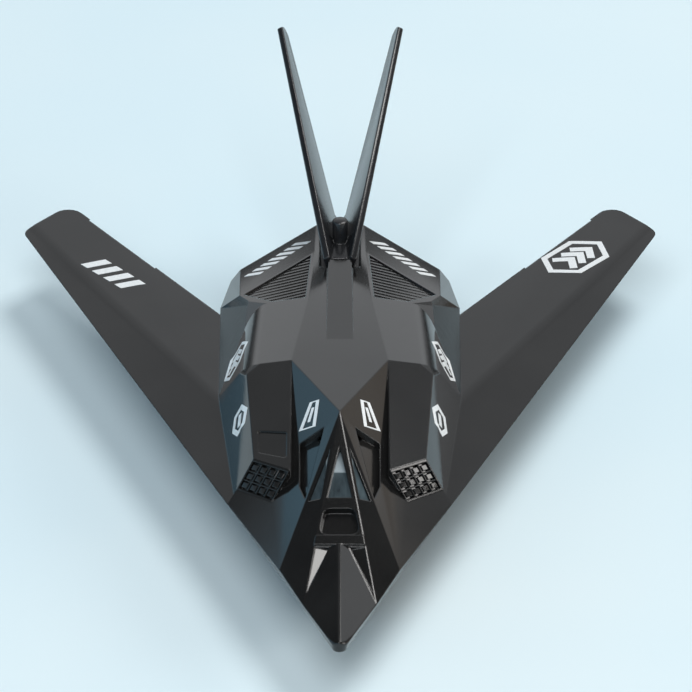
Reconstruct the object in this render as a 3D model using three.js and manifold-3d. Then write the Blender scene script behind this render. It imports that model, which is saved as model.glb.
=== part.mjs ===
// Toy airplane: a palm-sized die-cast stealth jet with a pull-back motor.
// Millimetres, +Z up, nose towards -Y, wheels standing on z = 0.
import * as THREE from 'three';
import { ConvexGeometry } from 'three/addons/geometries/ConvexGeometry.js';
import { mergeVertices } from 'three/addons/utils/BufferGeometryUtils.js';
import Module from 'manifold-3d';

const wasm = await Module();
wasm.setup();

// ---------------------------------------------------------------- driving dimensions
// Running gear
const wheelDiameter = 12;
const tyreWidth = 3.2;
const tyreThickness = 1.4;
const axleDiameter = 1.5;
const noseWheelDiameter = 7.4;
const noseWheelWidth = 2.6;
const nosePinDiameter = 1.2;
const noseLegThickness = 0.9;
const axleToChine = 3;

// Airframe outline: stations run aft from the point where both leading edges would meet
const noseRadius = 1.2;
const sweep = 67.3;
const wingSpan = 83;
const tipChord = 8.9;
const tipCorner = 1.5;
const apexStation = 38.5;
const apexHeight = 11;
const shoulderLength = 14.6;
const deckLength = 19.4;
const exhaustLength = 16.2;
const lipLength = 11.2;
const bodyHalfWidth = 15.5;
const finLength = 38.3;
const finRise = 13.2;
const finSplay = 6;
const edgeUnder = 0.3;
const edgeTop = 0.9;
const roofWall = 1.1;

// Belly and fasteners
const bellyDepth = 5.2;
const floorWall = 1.2;
const plateGap = 0.1;
const screwDiameter = 1.8;
const screwHeadDiameter = 3.6;
const screwHeadHeight = 1.3;
const screwLength = 4.8;

// Pull-back motor
const motorWidth = 12;
const caseWall = 0.9;
const gearModule = 0.4;
const axleTeeth = 8;
const idlerTeeth = 20;
const idlerPinionTeeth = 8;
const barrelTeeth = 24;
const pinDiameter = 1.2;
const centreSlack = 0.06;

// Clearances
const runningFit = 0.05;
const pressGap = 0.02;
const partGap = 0.3;
const looseFit = 0.15;

// ---------------------------------------------------------------- solids and frame
const aftSlope = Math.tan(THREE.MathUtils.degToRad(sweep));
const noseCentre = noseRadius / Math.cos(THREE.MathUtils.degToRad(sweep));
const noseTip = noseCentre - noseRadius;
const wheelRadius = wheelDiameter / 2;
const chineHeight = wheelRadius + axleToChine;
const shoulderStation = apexStation + shoulderLength;
const exhaustStation = shoulderStation + deckLength;
const stepStation = exhaustStation + exhaustLength;
const tailStation = stepStation + lipLength;
const finRootStation = exhaustStation + 10.3;
const finTipStation = finRootStation + finLength;
const finTipOverrun = 1.6;
const midStation = (noseTip + finTipStation + finTipOverrun) / 2;

function toSolid(geometry) {
  const bare = geometry.index ? geometry.clone() : geometry;
  bare.deleteAttribute('normal');
  bare.deleteAttribute('uv');
  const merged = mergeVertices(bare, 1e-5);
  return new wasm.Manifold(new wasm.Mesh({
    numProp: 3,
    vertProperties: merged.attributes.position.array,
    triVerts: new Uint32Array(merged.index.array),
  }));
}

function toGeometry(solid) {
  const mesh = solid.getMesh();
  const geometry = new THREE.BufferGeometry();
  geometry.setAttribute('position', new THREE.BufferAttribute(mesh.vertProperties, 3));
  geometry.setIndex(new THREE.BufferAttribute(mesh.triVerts, 1));
  geometry.computeVertexNormals();
  return geometry;
}

// A point of the airframe: x to port, station aft of the nose, height above the chine.
function at(x, station, height) {
  return new THREE.Vector3(x, station - midStation, chineHeight + height);
}

function bothSides(points) {
  return points.concat(points.map((p) => new THREE.Vector3(-p.x, p.y, p.z)));
}

function hull(points) {
  return toSolid(new ConvexGeometry(points));
}

function joinAll(solids) {
  return solids.reduce((whole, solid) => whole.add(solid));
}

function mirrored(solid) {
  return solid.mirror([1, 0, 0]);
}

// An outline given as [x, station] pairs, standing between two heights over the chine.
function prism(outline, low, high) {
  const shape = new THREE.Shape(outline.map(([x, station]) => new THREE.Vector2(x, station - midStation)));
  const geometry = new THREE.ExtrudeGeometry(shape, { depth: high - low, bevelEnabled: false });
  return toSolid(geometry.translate(0, 0, chineHeight + low));
}

function rod(radius, length, place, axis, sides = 24) {
  const geometry = new THREE.CylinderGeometry(radius, radius, length, sides);
  if (axis === 'x') geometry.rotateZ(Math.PI / 2);
  if (axis === 'z') geometry.rotateX(Math.PI / 2);
  return toSolid(geometry.translate(place.x, place.y, place.z));
}

// A turned piece on an axis along X; the profile is [radius, x] pairs that close on themselves.
function turned(profile, place, sides = 32) {
  const points = profile.concat([profile[0]]).map(([radius, x]) => new THREE.Vector2(radius, x));
  if (THREE.ShapeUtils.isClockWise(points)) points.reverse();
  const geometry = new THREE.LatheGeometry(points, sides).rotateZ(-Math.PI / 2);
  return toSolid(geometry.translate(place.x, place.y, place.z));
}

const assembly = new THREE.Group();

function addPiece(name, solid, color, roughness, metalness) {
  const material = new THREE.MeshStandardMaterial({ color, roughness, metalness });
  const mesh = new THREE.Mesh(toGeometry(solid), material);
  mesh.name = name;
  assembly.add(mesh);
}

// ---------------------------------------------------------------- landmarks of the airframe
function leadingEdge(station, height) {
  return at(station / aftSlope, station, height);
}

const apex = at(0, apexStation, apexHeight);
const ridgeFoot = leadingEdge(10.6, edgeTop);
const canopyFoot = leadingEdge(17.4, edgeTop + 0.5);
const valleyFront = at(6.05, 33, 4.9);
const shoulderInner = at(6.05, shoulderStation, 9.5);
const shoulderOuter = at(11.75, shoulderStation + 0.2, 8.6);
const nacelleFrontInner = at(6.1, 32.4, 6.3);
const nacelleFrontOuter = at(10.6, 35.6, 5.9);
const grilleFootInner = at(8.3, 30.2, 3);
const grilleFootOuter = at(12.7, 34.2, 2.3);
const rootFront = at(bodyHalfWidth - 0.2, shoulderStation + 3.2, 2);
const rootRear = at(bodyHalfWidth, exhaustStation + 7.3, 1.5);
const exhaustFrontInner = at(4, exhaustStation - 0.3, 7.2);
const exhaustFrontOuter = at(11, exhaustStation + 0.2, 5.9);
const exhaustRearOuter = at(12.9, exhaustStation + 4.3, 4.9);
const exhaustRearInner = at(3.3, stepStation, 4.6);
const lipOuter = at(13, stepStation - 0.7, 2.2);
const lipInner = at(3.2, tailStation - 0.3, 2.2);
const wingLineStation = 33;

const keelLine = -edgeUnder;
function under(point) {
  return new THREE.Vector3(point.x, point.y, chineHeight + keelLine);
}

// ---------------------------------------------------------------- upper casting
// The canopy is a long pyramid; the nose is a lower one set against its flat front.
function canopyPyramid() {
  return hull(bothSides([apex, ridgeFoot, canopyFoot, valleyFront, shoulderInner,
    under(ridgeFoot), under(canopyFoot), under(valleyFront), under(shoulderInner)]));
}

function noseWedge() {
  const top = at(0, sensorFront - lipBar, 4.7);
  const points = [top, under(top), ridgeFoot, under(ridgeFoot)];
  const steps = 4;
  for (let i = 0; i <= steps; i += 1) {
    const angle = THREE.MathUtils.degToRad(sweep) * (i / steps);
    const x = noseRadius * Math.sin(angle);
    const station = noseCentre - noseRadius * Math.cos(angle);
    points.push(at(x, station, edgeTop), at(x, station, keelLine));
  }
  return hull(bothSides(points));
}

function nosePanel() {
  const front = leadingEdge(17.4, edgeTop);
  const back = leadingEdge(wingLineStation, edgeTop);
  const points = [front, under(front), back, under(back), grilleFootInner, grilleFootOuter,
    under(grilleFootOuter), at(6, 34, 4.2), at(6, 34, keelLine)];
  return hull(points);
}

function nacelle() {
  const points = [nacelleFrontInner, nacelleFrontOuter, shoulderInner, shoulderOuter, grilleFootInner,
    grilleFootOuter, rootFront, under(grilleFootInner), under(grilleFootOuter), under(rootFront),
    under(shoulderInner), under(nacelleFrontInner)];
  return hull(points);
}

function deck() {
  const front = hull(bothSides([apex, shoulderInner, under(apex), under(shoulderInner)]));
  const rear = hull(bothSides([shoulderInner, shoulderOuter, exhaustFrontInner, exhaustFrontOuter,
    exhaustRearOuter, rootFront, rootRear, under(rootFront), under(rootRear), under(shoulderInner)]));
  return front.add(rear);
}

function tailBlock() {
  const side = at(14.2, exhaustStation + 13.2, 1.8);
  return hull(bothSides([exhaustFrontInner, exhaustFrontOuter, exhaustRearOuter, exhaustRearInner,
    lipOuter, lipInner, at(0, tailStation + 0.6, 2.2), side, rootRear, under(rootRear), under(side),
    under(lipOuter), under(lipInner), at(0, tailStation + 0.6, keelLine), under(exhaustFrontInner)]));
}

const tipOverrun = 0.22;
const spineHalfWidth = 1.9;
function spine() {
  const start = shoulderStation + 6.5;
  const crest = spineHalfWidth - 0.3;
  return hull(bothSides([at(crest, start, 8.8), at(crest, finRootStation, 7.4), at(spineHalfWidth, start, 3),
    at(spineHalfWidth, finRootStation, 3)]));
}

function wingOutline() {
  const half = wingSpan / 2;
  const tipEdge = new THREE.Vector2(-0.62, 0.78).normalize();
  const leading = new THREE.Vector2(half + tipOverrun, (half + tipOverrun) * aftSlope);
  const trailing = leading.clone().addScaledVector(tipEdge, tipChord + 0.2);
  const rear = new THREE.Vector2(bodyHalfWidth - 1.5, exhaustStation + 5.4);
  const rearSlope = trailing.clone().sub(rear);
  const elevonStep = new THREE.Vector2(-0.25, 0.5);
  const elevonInner = rear.clone().addScaledVector(rearSlope, 0.45);
  const elevonOuter = rear.clone().addScaledVector(rearSlope, 0.86);
  const corners = [new THREE.Vector2(wingLineStation / aftSlope - 3, wingLineStation + 3)];
  corners.push(new THREE.Vector2(wingLineStation / aftSlope, wingLineStation));
  corners.push(...roundCorner(corners[1], leading, trailing, tipCorner));
  corners.push(...roundCorner(leading, trailing, elevonOuter, tipCorner));
  corners.push(elevonOuter, elevonOuter.clone().add(elevonStep));
  corners.push(elevonInner.clone().add(elevonStep), elevonInner, rear);
  return corners.map((p) => [p.x, p.y]);
}

// The arc that blends two straight runs meeting at a corner.
function roundCorner(before, corner, after, radius) {
  const inward = before.clone().sub(corner).normalize();
  const outward = after.clone().sub(corner).normalize();
  const half = Math.acos(inward.dot(outward)) / 2;
  const bisector = inward.clone().add(outward).normalize();
  const centre = corner.clone().addScaledVector(bisector, radius / Math.sin(half));
  const start = corner.clone().addScaledVector(inward, radius / Math.tan(half)).sub(centre);
  const sweepAngle = Math.PI - 2 * half;
  const steps = 6;
  const arc = [];
  for (let i = 0; i <= steps; i += 1) {
    arc.push(start.clone().rotateAround(new THREE.Vector2(), (sweepAngle * i) / steps).add(centre));
  }
  return arc;
}

// The wing is a thin plate with its thickest line running out along mid-chord.
function wing() {
  const half = wingSpan / 2 + 3;
  const tipStation = half * aftSlope;
  const crest = 1.9;
  const slab = hull([leadingEdge(wingLineStation, edgeTop - 0.1), leadingEdge(wingLineStation, keelLine),
    at(half, tipStation, edgeTop - 0.1), at(half, tipStation, keelLine),
    at(10, 58, crest + 0.3), at(half - 4, tipStation + 6, edgeTop + 0.3),
    at(10, exhaustStation + 12, edgeTop), at(10, exhaustStation + 12, keelLine),
    at(half - 12, tipStation + 16, edgeTop - 0.1), at(half - 12, tipStation + 16, keelLine),
    at(8, wingLineStation + 4, edgeTop + 0.4), at(8, wingLineStation + 4, keelLine)]);
  return prism(wingOutline(), keelLine - 1, crest + 2).intersect(slab);
}

// A plan view region and depth hollowed out under the roof.
function roomUnderRoof(outer) {
  const outline = [[3.8, glassStation - 0.8], [5, apexStation], [wheelOuter() + 0.8, apexStation + 5],
    [wheelOuter() + 0.8, exhaustStation + 9.2]];
  const whole = outline.concat(outline.map(([x, s]) => [-x, s]).reverse());
  return outer.translate([0, 0, -roofWall]).intersect(prism(whole, keelLine - 3, apexHeight + 3));
}

// A flat opening or pad on a facet: a polygon of facet points, grown along the facet's normal.
function facetBlock(corners, outward, inward) {
  const normal = new THREE.Plane().setFromCoplanarPoints(corners[0], corners[1], corners[2]).normal;
  if (normal.z < 0) normal.negate();
  return hull(corners.flatMap((p) => [p.clone().addScaledVector(normal, outward),
    p.clone().addScaledVector(normal, -inward)]));
}

function mix(a, b, t) {
  return a.clone().lerp(b, t);
}

// Moves each corner of a flat polygon towards its middle by a set distance from both edges.
function inset(corners, distance) {
  const count = corners.length;
  return corners.map((corner, i) => {
    const back = corners[(i + count - 1) % count].clone().sub(corner).normalize();
    const ahead = corners[(i + 1) % count].clone().sub(corner).normalize();
    const half = Math.acos(back.dot(ahead)) / 2;
    return corner.clone().addScaledVector(back.add(ahead).normalize(), distance / Math.sin(half));
  });
}

// Windscreen and quarter lights share one straight lower edge across the canopy.
const glassStation = 25.9;
function onRidge(station) {
  return ridgeFoot.clone().lerp(apex, (station - midStation - ridgeFoot.y) / (apex.y - ridgeFoot.y));
}
function onCanopyFoot(station) {
  return canopyFoot.clone().lerp(apex, (station - midStation - canopyFoot.y) / (apex.y - canopyFoot.y));
}
function flipped(point) {
  return new THREE.Vector3(-point.x, point.y, point.z);
}
function windscreen() {
  const foot = onRidge(glassStation);
  return inset([flipped(foot), foot, onRidge(apexStation - 1)], 0.5);
}
function quarterLight() {
  return inset([onRidge(glassStation), onCanopyFoot(glassStation + 0.6), onRidge(apexStation - 1.5)], 0.42);
}

// A sunk sensor box lies under the windscreen, closed in front by a low bar.
const sensorFront = 21;
const lipBar = 0.9;
function sensorBox() {
  const rear = onRidge(glassStation - 0.6);
  const front = onRidge(sensorFront);
  return facetBlock(inset([flipped(front), front, rear, flipped(rear)], 0.4), 2, 1);
}
function sensorLip() {
  const rear = onRidge(sensorFront + 0.2);
  const front = onRidge(sensorFront - lipBar);
  return facetBlock([flipped(front), front, rear, flipped(rear)], 0.3, 1.5);
}

// The cut between canopy side and nacelle, with a square end under the facet behind it.
function gutter() {
  const back = 37.6;
  const floor = [at(1.9, back, 8.1), at(4.9, back, 6), at(4.9, 30, 4.3), at(4.2, 27, 4.7)];
  return hull(floor.concat(floor.map((p) => p.clone().add(new THREE.Vector3(0, 0, 8)))));
}

const grilleColumns = 4;
const grilleRows = 3;
function grillePockets() {
  const level = (t) => [mix(nacelleFrontInner, grilleFootInner, t),
    mix(nacelleFrontOuter, grilleFootOuter, t)];
  const top = level(0.06);
  const foot = level(0.97);
  const bar = 0.12;
  const pockets = [];
  for (let column = 0; column < grilleColumns; column += 1) {
    for (let row = 0; row < grilleRows; row += 1) {
      const across = [(column + bar) / grilleColumns, (column + 1 - bar) / grilleColumns];
      const down = [(row + bar) / grilleRows, (row + 1 - bar) / grilleRows];
      const cell = (a, d) => mix(mix(top[0], top[1], a), mix(foot[0], foot[1], a), d);
      const corners = [cell(across[0], down[0]), cell(across[1], down[0]), cell(across[1], down[1]),
        cell(across[0], down[1])];
      pockets.push(facetBlock(corners, 0.5, 0.6));
    }
  }
  return joinAll(pockets);
}

function exhaustCorners() {
  return [exhaustFrontInner, exhaustFrontOuter, exhaustRearOuter, exhaustRearInner];
}
const ribPitch = 1;
const ribDepth = 0.35;
function exhaustGrooves() {
  const corners = inset(exhaustCorners(), 0.55);
  const panel = facetBlock(corners, 2, ribDepth);
  const bars = [];
  for (let station = exhaustStation + 0.6; station < stepStation - 2; station += ribPitch) {
    bars.push(prism([[2, station + 0.9], [15, station], [15, station + 0.45], [2, station + 1.35]], 0, 12));
  }
  return panel.intersect(joinAll(bars));
}
function lipStep() {
  const outerRear = at(13.6, exhaustStation + 4.3, 4.9);
  const innerRear = at(3, tailStation + 2, 2.9);
  const corners = [at(3, stepStation + 0.2, 4.6), outerRear, at(15, stepStation, 2.9), innerRear];
  return hull(corners.map((p) => p.clone().add(new THREE.Vector3(0, 0.3, -0.35)))
    .concat(corners.map((p) => p.clone().add(new THREE.Vector3(0, 0.3, 3)))));
}

const accessPanelDepth = 0.3;
function accessPanel() {
  const nearInner = mix(nacelleFrontInner, shoulderInner, 0.08);
  const nearOuter = mix(nacelleFrontOuter, shoulderOuter, 0.06);
  const farInner = mix(nacelleFrontInner, shoulderInner, 0.34);
  const farOuter = mix(nacelleFrontOuter, shoulderOuter, 0.3);
  const corners = [mix(nearInner, nearOuter, 0.12), mix(nearInner, nearOuter, 0.86),
    mix(farInner, farOuter, 0.86), mix(farInner, farOuter, 0.12)].map(flipped);
  return facetBlock(corners, 1, accessPanelDepth);
}

function tailPocket() {
  const side = saddleHalfWidth + looseFit;
  return prism([[-side, finRootStation + 0.3], [side, finRootStation + 0.3], [side, saddleRear + looseFit],
    [-side, saddleRear + looseFit]], saddleFloor - looseFit, 12);
}

function wheelArch(side) {
  const place = new THREE.Vector3(side * wheelMiddle(), axlePlace.y, axlePlace.z);
  return rod(wheelRadius + 0.6, tyreWidth + 1, place, 'x', 32);
}

// ---------------------------------------------------------------- screw places
const frontScrew = at(0, apexStation + 8.5, 0);
const rearScrews = [at(-6.3, exhaustStation + 13.5, 0), at(6.3, exhaustStation + 13.5, 0)];
const postRadius = 2.2;

// ---------------------------------------------------------------- motor layout
const axlePlace = new THREE.Vector3(0, at(0, exhaustStation + 1.8, 0).y, wheelRadius);
function gearDistance(first, second) {
  return (gearModule * (first + second)) / 2 + centreSlack;
}
function stepFrom(place, distance, rise) {
  return new THREE.Vector3(0, place.y - Math.sqrt(distance ** 2 - rise ** 2), place.z + rise);
}
const idlerPlace = stepFrom(axlePlace, gearDistance(axleTeeth, idlerTeeth), 2.1);
const barrelPlace = stepFrom(idlerPlace, gearDistance(idlerPinionTeeth, barrelTeeth), 1);
const addendum = 0.85 * gearModule;
const dedendum = 1.2 * gearModule;
function tipRadius(teeth) {
  return (gearModule * teeth) / 2 + addendum;
}
const caseHalf = motorWidth / 2;
const insideHalf = caseHalf - caseWall;

function wheelMiddle() {
  return caseHalf + 1 + tyreWidth / 2;
}
function wheelOuter() {
  return wheelMiddle() + tyreWidth / 2;
}

// ---------------------------------------------------------------- tail piece sizes
const saddleHalfWidth = 2.5;
const saddleRear = finRootStation + 14.4;
const saddleFloor = 3.4;

function upperCasting() {
  const left = joinAll([nosePanel(), nacelle(), wing()]);
  const middle = [canopyPyramid(), noseWedge(), sensorLip(), deck(), tailBlock(), spine()];
  const outer = joinAll([...middle, left, mirrored(left)]);
  const gutters = gutter().add(mirrored(gutter()));
  const skin = outer.subtract(gutters);
  const postMiddle = frontScrew.clone().setZ(chineHeight + keelLine + 10);
  const post = rod(postRadius, 20, postMiddle, 'z').intersect(skin);
  const shell = skin.subtract(roomUnderRoof(skin)).add(post);
  const pairs = joinAll([grillePockets(), exhaustGrooves(), lipStep()]);
  const glass = joinAll([facetBlock(windscreen(), 2, 4), facetBlock(quarterLight(), 2, 4),
    mirrored(facetBlock(quarterLight(), 2, 4))]);
  const holeDepth = screwLength - screwGrip + 0.3;
  const holes = [frontScrew, ...rearScrews].map((p) => rod(screwDiameter / 2 + pressGap, holeDepth + 1,
    p.clone().setZ(chineHeight + keelLine + (holeDepth - 1) / 2), 'z', 16));
  return shell.subtract(joinAll([pairs, mirrored(pairs), glass, sensorBox(), accessPanel(), tailPocket(),
    wheelArch(-1), wheelArch(1), ...holes]));
}

// ---------------------------------------------------------------- base plate
const plateTop = keelLine - plateGap;
function plateOutline() {
  return [[2, 9], [6.4, 20], [11.4, 32], [bodyHalfWidth - 1.6, shoulderStation + 3],
    [bodyHalfWidth - 1.6, exhaustStation + 7], [11.6, exhaustStation + 13], [2.6, tailStation - 2.5]];
}
function bellyOutline() {
  return [[1.6, 17], [3.4, 24], [8, 38], [wheelOuter() - 0.6, shoulderStation],
    [wheelOuter() - 0.6, exhaustStation + 9], [8.6, exhaustStation + 15.8], [2.2, stepStation + 3]];
}
function pan(outset, depth, top) {
  const aft = (station) => station - outset * Math.sign(midStation - station);
  const high = plateOutline().map(([x, s]) => at(x + outset, aft(s), top));
  const low = bellyOutline().map(([x, s]) => at(x + outset, aft(s), -depth));
  return hull(bothSides(high.concat(low)));
}

function noseLegs(noseWheel) {
  const inner = noseWheelWidth / 2 + partGap;
  const legHeight = chineHeight - bellyDepth + 1.5 - (noseWheel.z - 1.4);
  const legs = [-1, 1].map((side) => {
    const geometry = new THREE.BoxGeometry(noseLegThickness, 3.6, legHeight);
    const x = side * (inner + noseLegThickness / 2);
    return toSolid(geometry.translate(x, noseWheel.y, noseWheel.z - 1.4 + legHeight / 2));
  });
  return joinAll(legs);
}

const noseWheelPlace = at(0, 27, 0).setZ(noseWheelDiameter / 2);

function boxBetween(low, high) {
  const geometry = new THREE.BoxGeometry(high.x - low.x, high.y - low.y, high.z - low.z);
  return toSolid(geometry.translate((high.x + low.x) / 2, (high.y + low.y) / 2, (high.z + low.z) / 2));
}

function basePlate() {
  const bellyZ = chineHeight - bellyDepth;
  const inside = pan(-floorWall, bellyDepth - floorWall, plateTop + 2);
  let plate = pan(0, bellyDepth, plateTop).subtract(inside);
  const bossRadius = screwHeadDiameter / 2 + 1.1;
  const bosses = [frontScrew, ...rearScrews].map((p) => rod(bossRadius, bellyDepth + plateTop,
    p.clone().setZ((bellyZ + chineHeight + plateTop) / 2), 'z'));
  plate = plate.add(joinAll(bosses).intersect(pan(0, bellyDepth, plateTop)));
  plate = plate.add(noseLegs(noseWheelPlace));
  const shanks = [frontScrew, ...rearScrews].map((p) => rod(screwDiameter / 2 + looseFit, 20,
    p.clone().setZ(chineHeight), 'z', 16));
  const headRooms = [frontScrew, ...rearScrews].map((p) => rod(screwHeadDiameter / 2 + looseFit,
    screwHeadTop + 5, p.clone().setZ((screwHeadTop - 5) / 2), 'z'));
  const motorRoom = boxBetween(
    new THREE.Vector3(-caseHalf - partGap, caseFront() - partGap, bellyZ - 1),
    new THREE.Vector3(caseHalf + partGap, caseRear() + partGap, bellyZ + floorWall + 8));
  const wheelRoom = boxBetween(
    new THREE.Vector3(-wheelOuter() - 0.6, axlePlace.y - wheelRadius - 0.7, bellyZ - 1),
    new THREE.Vector3(wheelOuter() + 0.6, axlePlace.y + wheelRadius + 0.7, chineHeight + 3));
  const noseRoom = rod(noseWheelDiameter / 2 + 0.5, noseWheelWidth + 2 * partGap, noseWheelPlace, 'x');
  const pinHole = rod(nosePinDiameter / 2 + pressGap, 12, noseWheelPlace, 'x', 16);
  return plate.subtract(joinAll([...shanks, ...headRooms, motorRoom, wheelRoom, noseRoom, pinHole]));
}

// ---------------------------------------------------------------- canopy glazing
// One clear moulding under the roof, with three raised panes standing in the window openings.
function canopyGlazing() {
  const drop = roofWall + 0.25;
  const lowered = (p) => p.clone().add(new THREE.Vector3(0, 0, -drop));
  const footing = [at(2.4, glassStation + 0.3, 2.6), at(1.6, apexStation - 5, 2.6)];
  const body = hull(bothSides(quarterLight().map(lowered).concat(footing)));
  const panes = joinAll([windscreen(), quarterLight(), quarterLight().map(flipped)]
    .map((corners) => facetBlock(inset(corners, 0.12), -0.25, drop + 0.6)));
  const hollow = prism([[-1.3, glassStation + 1], [1.3, glassStation + 1], [1.3, apexStation - 4.5],
    [-1.3, apexStation - 4.5]], 0, 5.2);
  return body.add(panes).subtract(hollow);
}

// ---------------------------------------------------------------- V tail
const finThickness = 1.1;
function fin() {
  const leadRoot = at(2.1, finRootStation, 7);
  const leadTip = at(2.1 + finSplay, finTipStation, 7 + finRise);
  const trailTip = leadTip.clone().add(new THREE.Vector3(-0.95, 0.8, -1.8));
  const trailRoot = at(1, finRootStation + 13.6, 5.5);
  const beyond = mix(leadTip, trailTip, 0.5).add(new THREE.Vector3(0.15, finTipOverrun - 0.4, 0.4));
  const footFront = at(1.1, finRootStation + 0.9, saddleFloor + 1);
  const footRear = at(0.4, finRootStation + 13.6, saddleFloor + 1);
  const normal = new THREE.Plane().setFromCoplanarPoints(leadRoot, leadTip, trailRoot).normal;
  const moved = (p, distance) => p.clone().addScaledVector(normal, distance);
  const thick = (p, t) => [moved(p, t / 2), moved(p, -t / 2)];
  return hull([...thick(leadRoot, finThickness), ...thick(leadTip, 0.9), ...thick(trailTip, 0.8),
    ...thick(beyond, 0.6), ...thick(trailRoot, finThickness), ...thick(footFront, finThickness),
    ...thick(footRear, finThickness)]);
}
function vTail() {
  const front = finRootStation + 0.3 + looseFit;
  const half = saddleHalfWidth;
  const saddle = prism([[-half, front], [half, front], [half, saddleRear], [-half, saddleRear]],
    saddleFloor, saddleFloor + 1.4);
  const block = hull(bothSides([at(1.5, front + 0.6, saddleFloor), at(1.5, saddleRear - 1, saddleFloor),
    at(1.3, front + 0.9, 6.2), at(1, saddleRear - 1.5, 5.6)]));
  const post = rod(1, 4, at(0, finRootStation + 6.2, 7.1), 'z');
  const blade = fin();
  return joinAll([saddle, block, post, blade, mirrored(blade)]);
}

// ---------------------------------------------------------------- wheels and axles
function rearAxle() {
  return rod(axleDiameter / 2, 2 * wheelOuter() - 0.6, axlePlace, 'x');
}
function mainHub(side) {
  const place = axlePlace.clone().setX(side * wheelMiddle());
  const bore = axleDiameter / 2 + pressGap;
  const rim = wheelRadius - tyreThickness - pressGap;
  const half = tyreWidth / 2;
  const web = half - 1;
  const section = [[bore, -half], [bore, half - 0.2], [2, half - 0.2], [2.3, web], [rim - 0.8, web],
    [rim - 0.5, half - 0.1], [rim, half - 0.1], [rim, 0.1 - half], [rim - 0.7, 0.1 - half],
    [rim - 0.9, 0.7 - half], [2, 0.7 - half], [1.8, -half]];
  const profile = section.map(([radius, x]) => [radius, x * side]);
  return turned(profile, place);
}
function mainTyre(side) {
  const place = axlePlace.clone().setX(side * wheelMiddle());
  const inner = wheelRadius - tyreThickness;
  const half = tyreWidth / 2;
  return turned([[inner, -half], [inner, half], [wheelRadius - 0.5, half], [wheelRadius - 0.1, half - 0.4],
    [wheelRadius, half - 0.9], [wheelRadius, -half + 0.9], [wheelRadius - 0.1, -half + 0.4],
    [wheelRadius - 0.5, -half]], place, 40);
}
function noseWheel() {
  const half = noseWheelWidth / 2;
  const radius = noseWheelDiameter / 2;
  const bore = nosePinDiameter / 2 + runningFit;
  return turned([[bore, -half], [bore, half], [1.2, half], [1.4, half - 0.5], [radius - 1.2, half - 0.5],
    [radius - 0.9, half], [radius - 0.4, half], [radius, half - 0.5], [radius, -half + 0.5],
    [radius - 0.4, -half], [radius - 0.9, -half], [radius - 1.2, -half + 0.5], [1.4, -half + 0.5],
    [1.2, -half]], noseWheelPlace);
}
function noseWheelPin() {
  const length = noseWheelWidth + 2 * partGap + 2 * noseLegThickness + 0.2;
  return rod(nosePinDiameter / 2, length, noseWheelPlace, 'x', 16);
}

// ---------------------------------------------------------------- gears
function involute(angle) {
  return Math.tan(angle) - angle;
}
const pressureAngle = THREE.MathUtils.degToRad(20);
function gearShape(teeth, bore) {
  const pitch = (gearModule * teeth) / 2;
  const base = pitch * Math.cos(pressureAngle);
  const root = pitch - dedendum;
  const tip = pitch + addendum;
  const halfTooth = ((Math.PI / 2) * 0.84) / teeth;
  const flank = [Math.max(base, root + 0.02), pitch, tip];
  const flankAngle = (radius) => halfTooth + involute(pressureAngle)
    - involute(Math.acos(Math.min(1, base / Math.max(radius, base))));
  const shape = new THREE.Shape();
  const points = [];
  for (let tooth = 0; tooth < teeth; tooth += 1) {
    const middle = (tooth * 2 * Math.PI) / teeth;
    const rising = flank.map((r) => [r, middle - flankAngle(r)]);
    const falling = flank.slice().reverse().map((r) => [r, middle + flankAngle(r)]);
    const foot = flankAngle(base) + 0.04;
    points.push([root, middle - foot], ...rising, ...falling, [root, middle + foot]);
  }
  shape.setFromPoints(points.map(([r, a]) => new THREE.Vector2(r * Math.cos(a), r * Math.sin(a))));
  if (bore > 0) shape.holes.push(new THREE.Path().absarc(0, 0, bore, 0, 2 * Math.PI, true));
  return shape;
}
// Gears lie in the plane of the motor's side walls: shape x runs aft, shape y runs up.
const sideways = new THREE.Matrix4().makeBasis(new THREE.Vector3(0, 1, 0), new THREE.Vector3(0, 0, 1),
  new THREE.Vector3(1, 0, 0));
function gear(teeth, bore, from, to, place, turn) {
  const geometry = new THREE.ExtrudeGeometry(gearShape(teeth, bore),
    { depth: to - from, bevelEnabled: false, curveSegments: 24 });
  geometry.rotateZ(turn).applyMatrix4(sideways);
  return toSolid(geometry.translate(from, place.y, place.z));
}
function bearingTo(first, second) {
  return Math.atan2(second.z - first.z, second.y - first.y);
}
const drivePlane = [2.5, 4.1];
const barrelPlane = [0.2, 1.8];

function axlePinion() {
  return gear(axleTeeth, axleDiameter / 2 + pressGap, drivePlane[0] - 0.2, drivePlane[1] + 0.3, axlePlace,
    bearingTo(axlePlace, idlerPlace));
}
function idlerGear() {
  const bore = pinDiameter / 2 + runningFit;
  const turn = bearingTo(idlerPlace, axlePlace) + Math.PI / idlerTeeth;
  const wheel = gear(idlerTeeth, bore, drivePlane[0], drivePlane[1], idlerPlace, turn);
  const pinion = gear(idlerPinionTeeth, bore, barrelPlane[0] - 0.2, drivePlane[0] + 0.1, idlerPlace,
    bearingTo(idlerPlace, barrelPlace));
  return wheel.add(pinion);
}
const drumWall = 0.7;
function springGear() {
  const bore = pinDiameter / 2 + runningFit;
  const turn = bearingTo(barrelPlace, idlerPlace) + Math.PI / barrelTeeth;
  const wheel = gear(barrelTeeth, bore, barrelPlane[0], barrelPlane[1], barrelPlace, turn);
  const drumRadius = (gearModule * barrelTeeth) / 2 - dedendum;
  const drumBack = -insideHalf + 0.4;
  const drumFront = barrelPlane[0] + 0.1;
  const drum = turned([[drumRadius - drumWall, drumBack], [drumRadius, drumBack], [drumRadius, drumFront],
    [drumRadius - drumWall, drumFront]], barrelPlace);
  return wheel.add(drum);
}
function springArbor() {
  return rod(pinDiameter / 2, 2 * insideHalf + caseWall, barrelPlace, 'x');
}
function idlerPin() {
  return rod(pinDiameter / 2, 2 * insideHalf + caseWall, idlerPlace, 'x');
}
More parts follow.
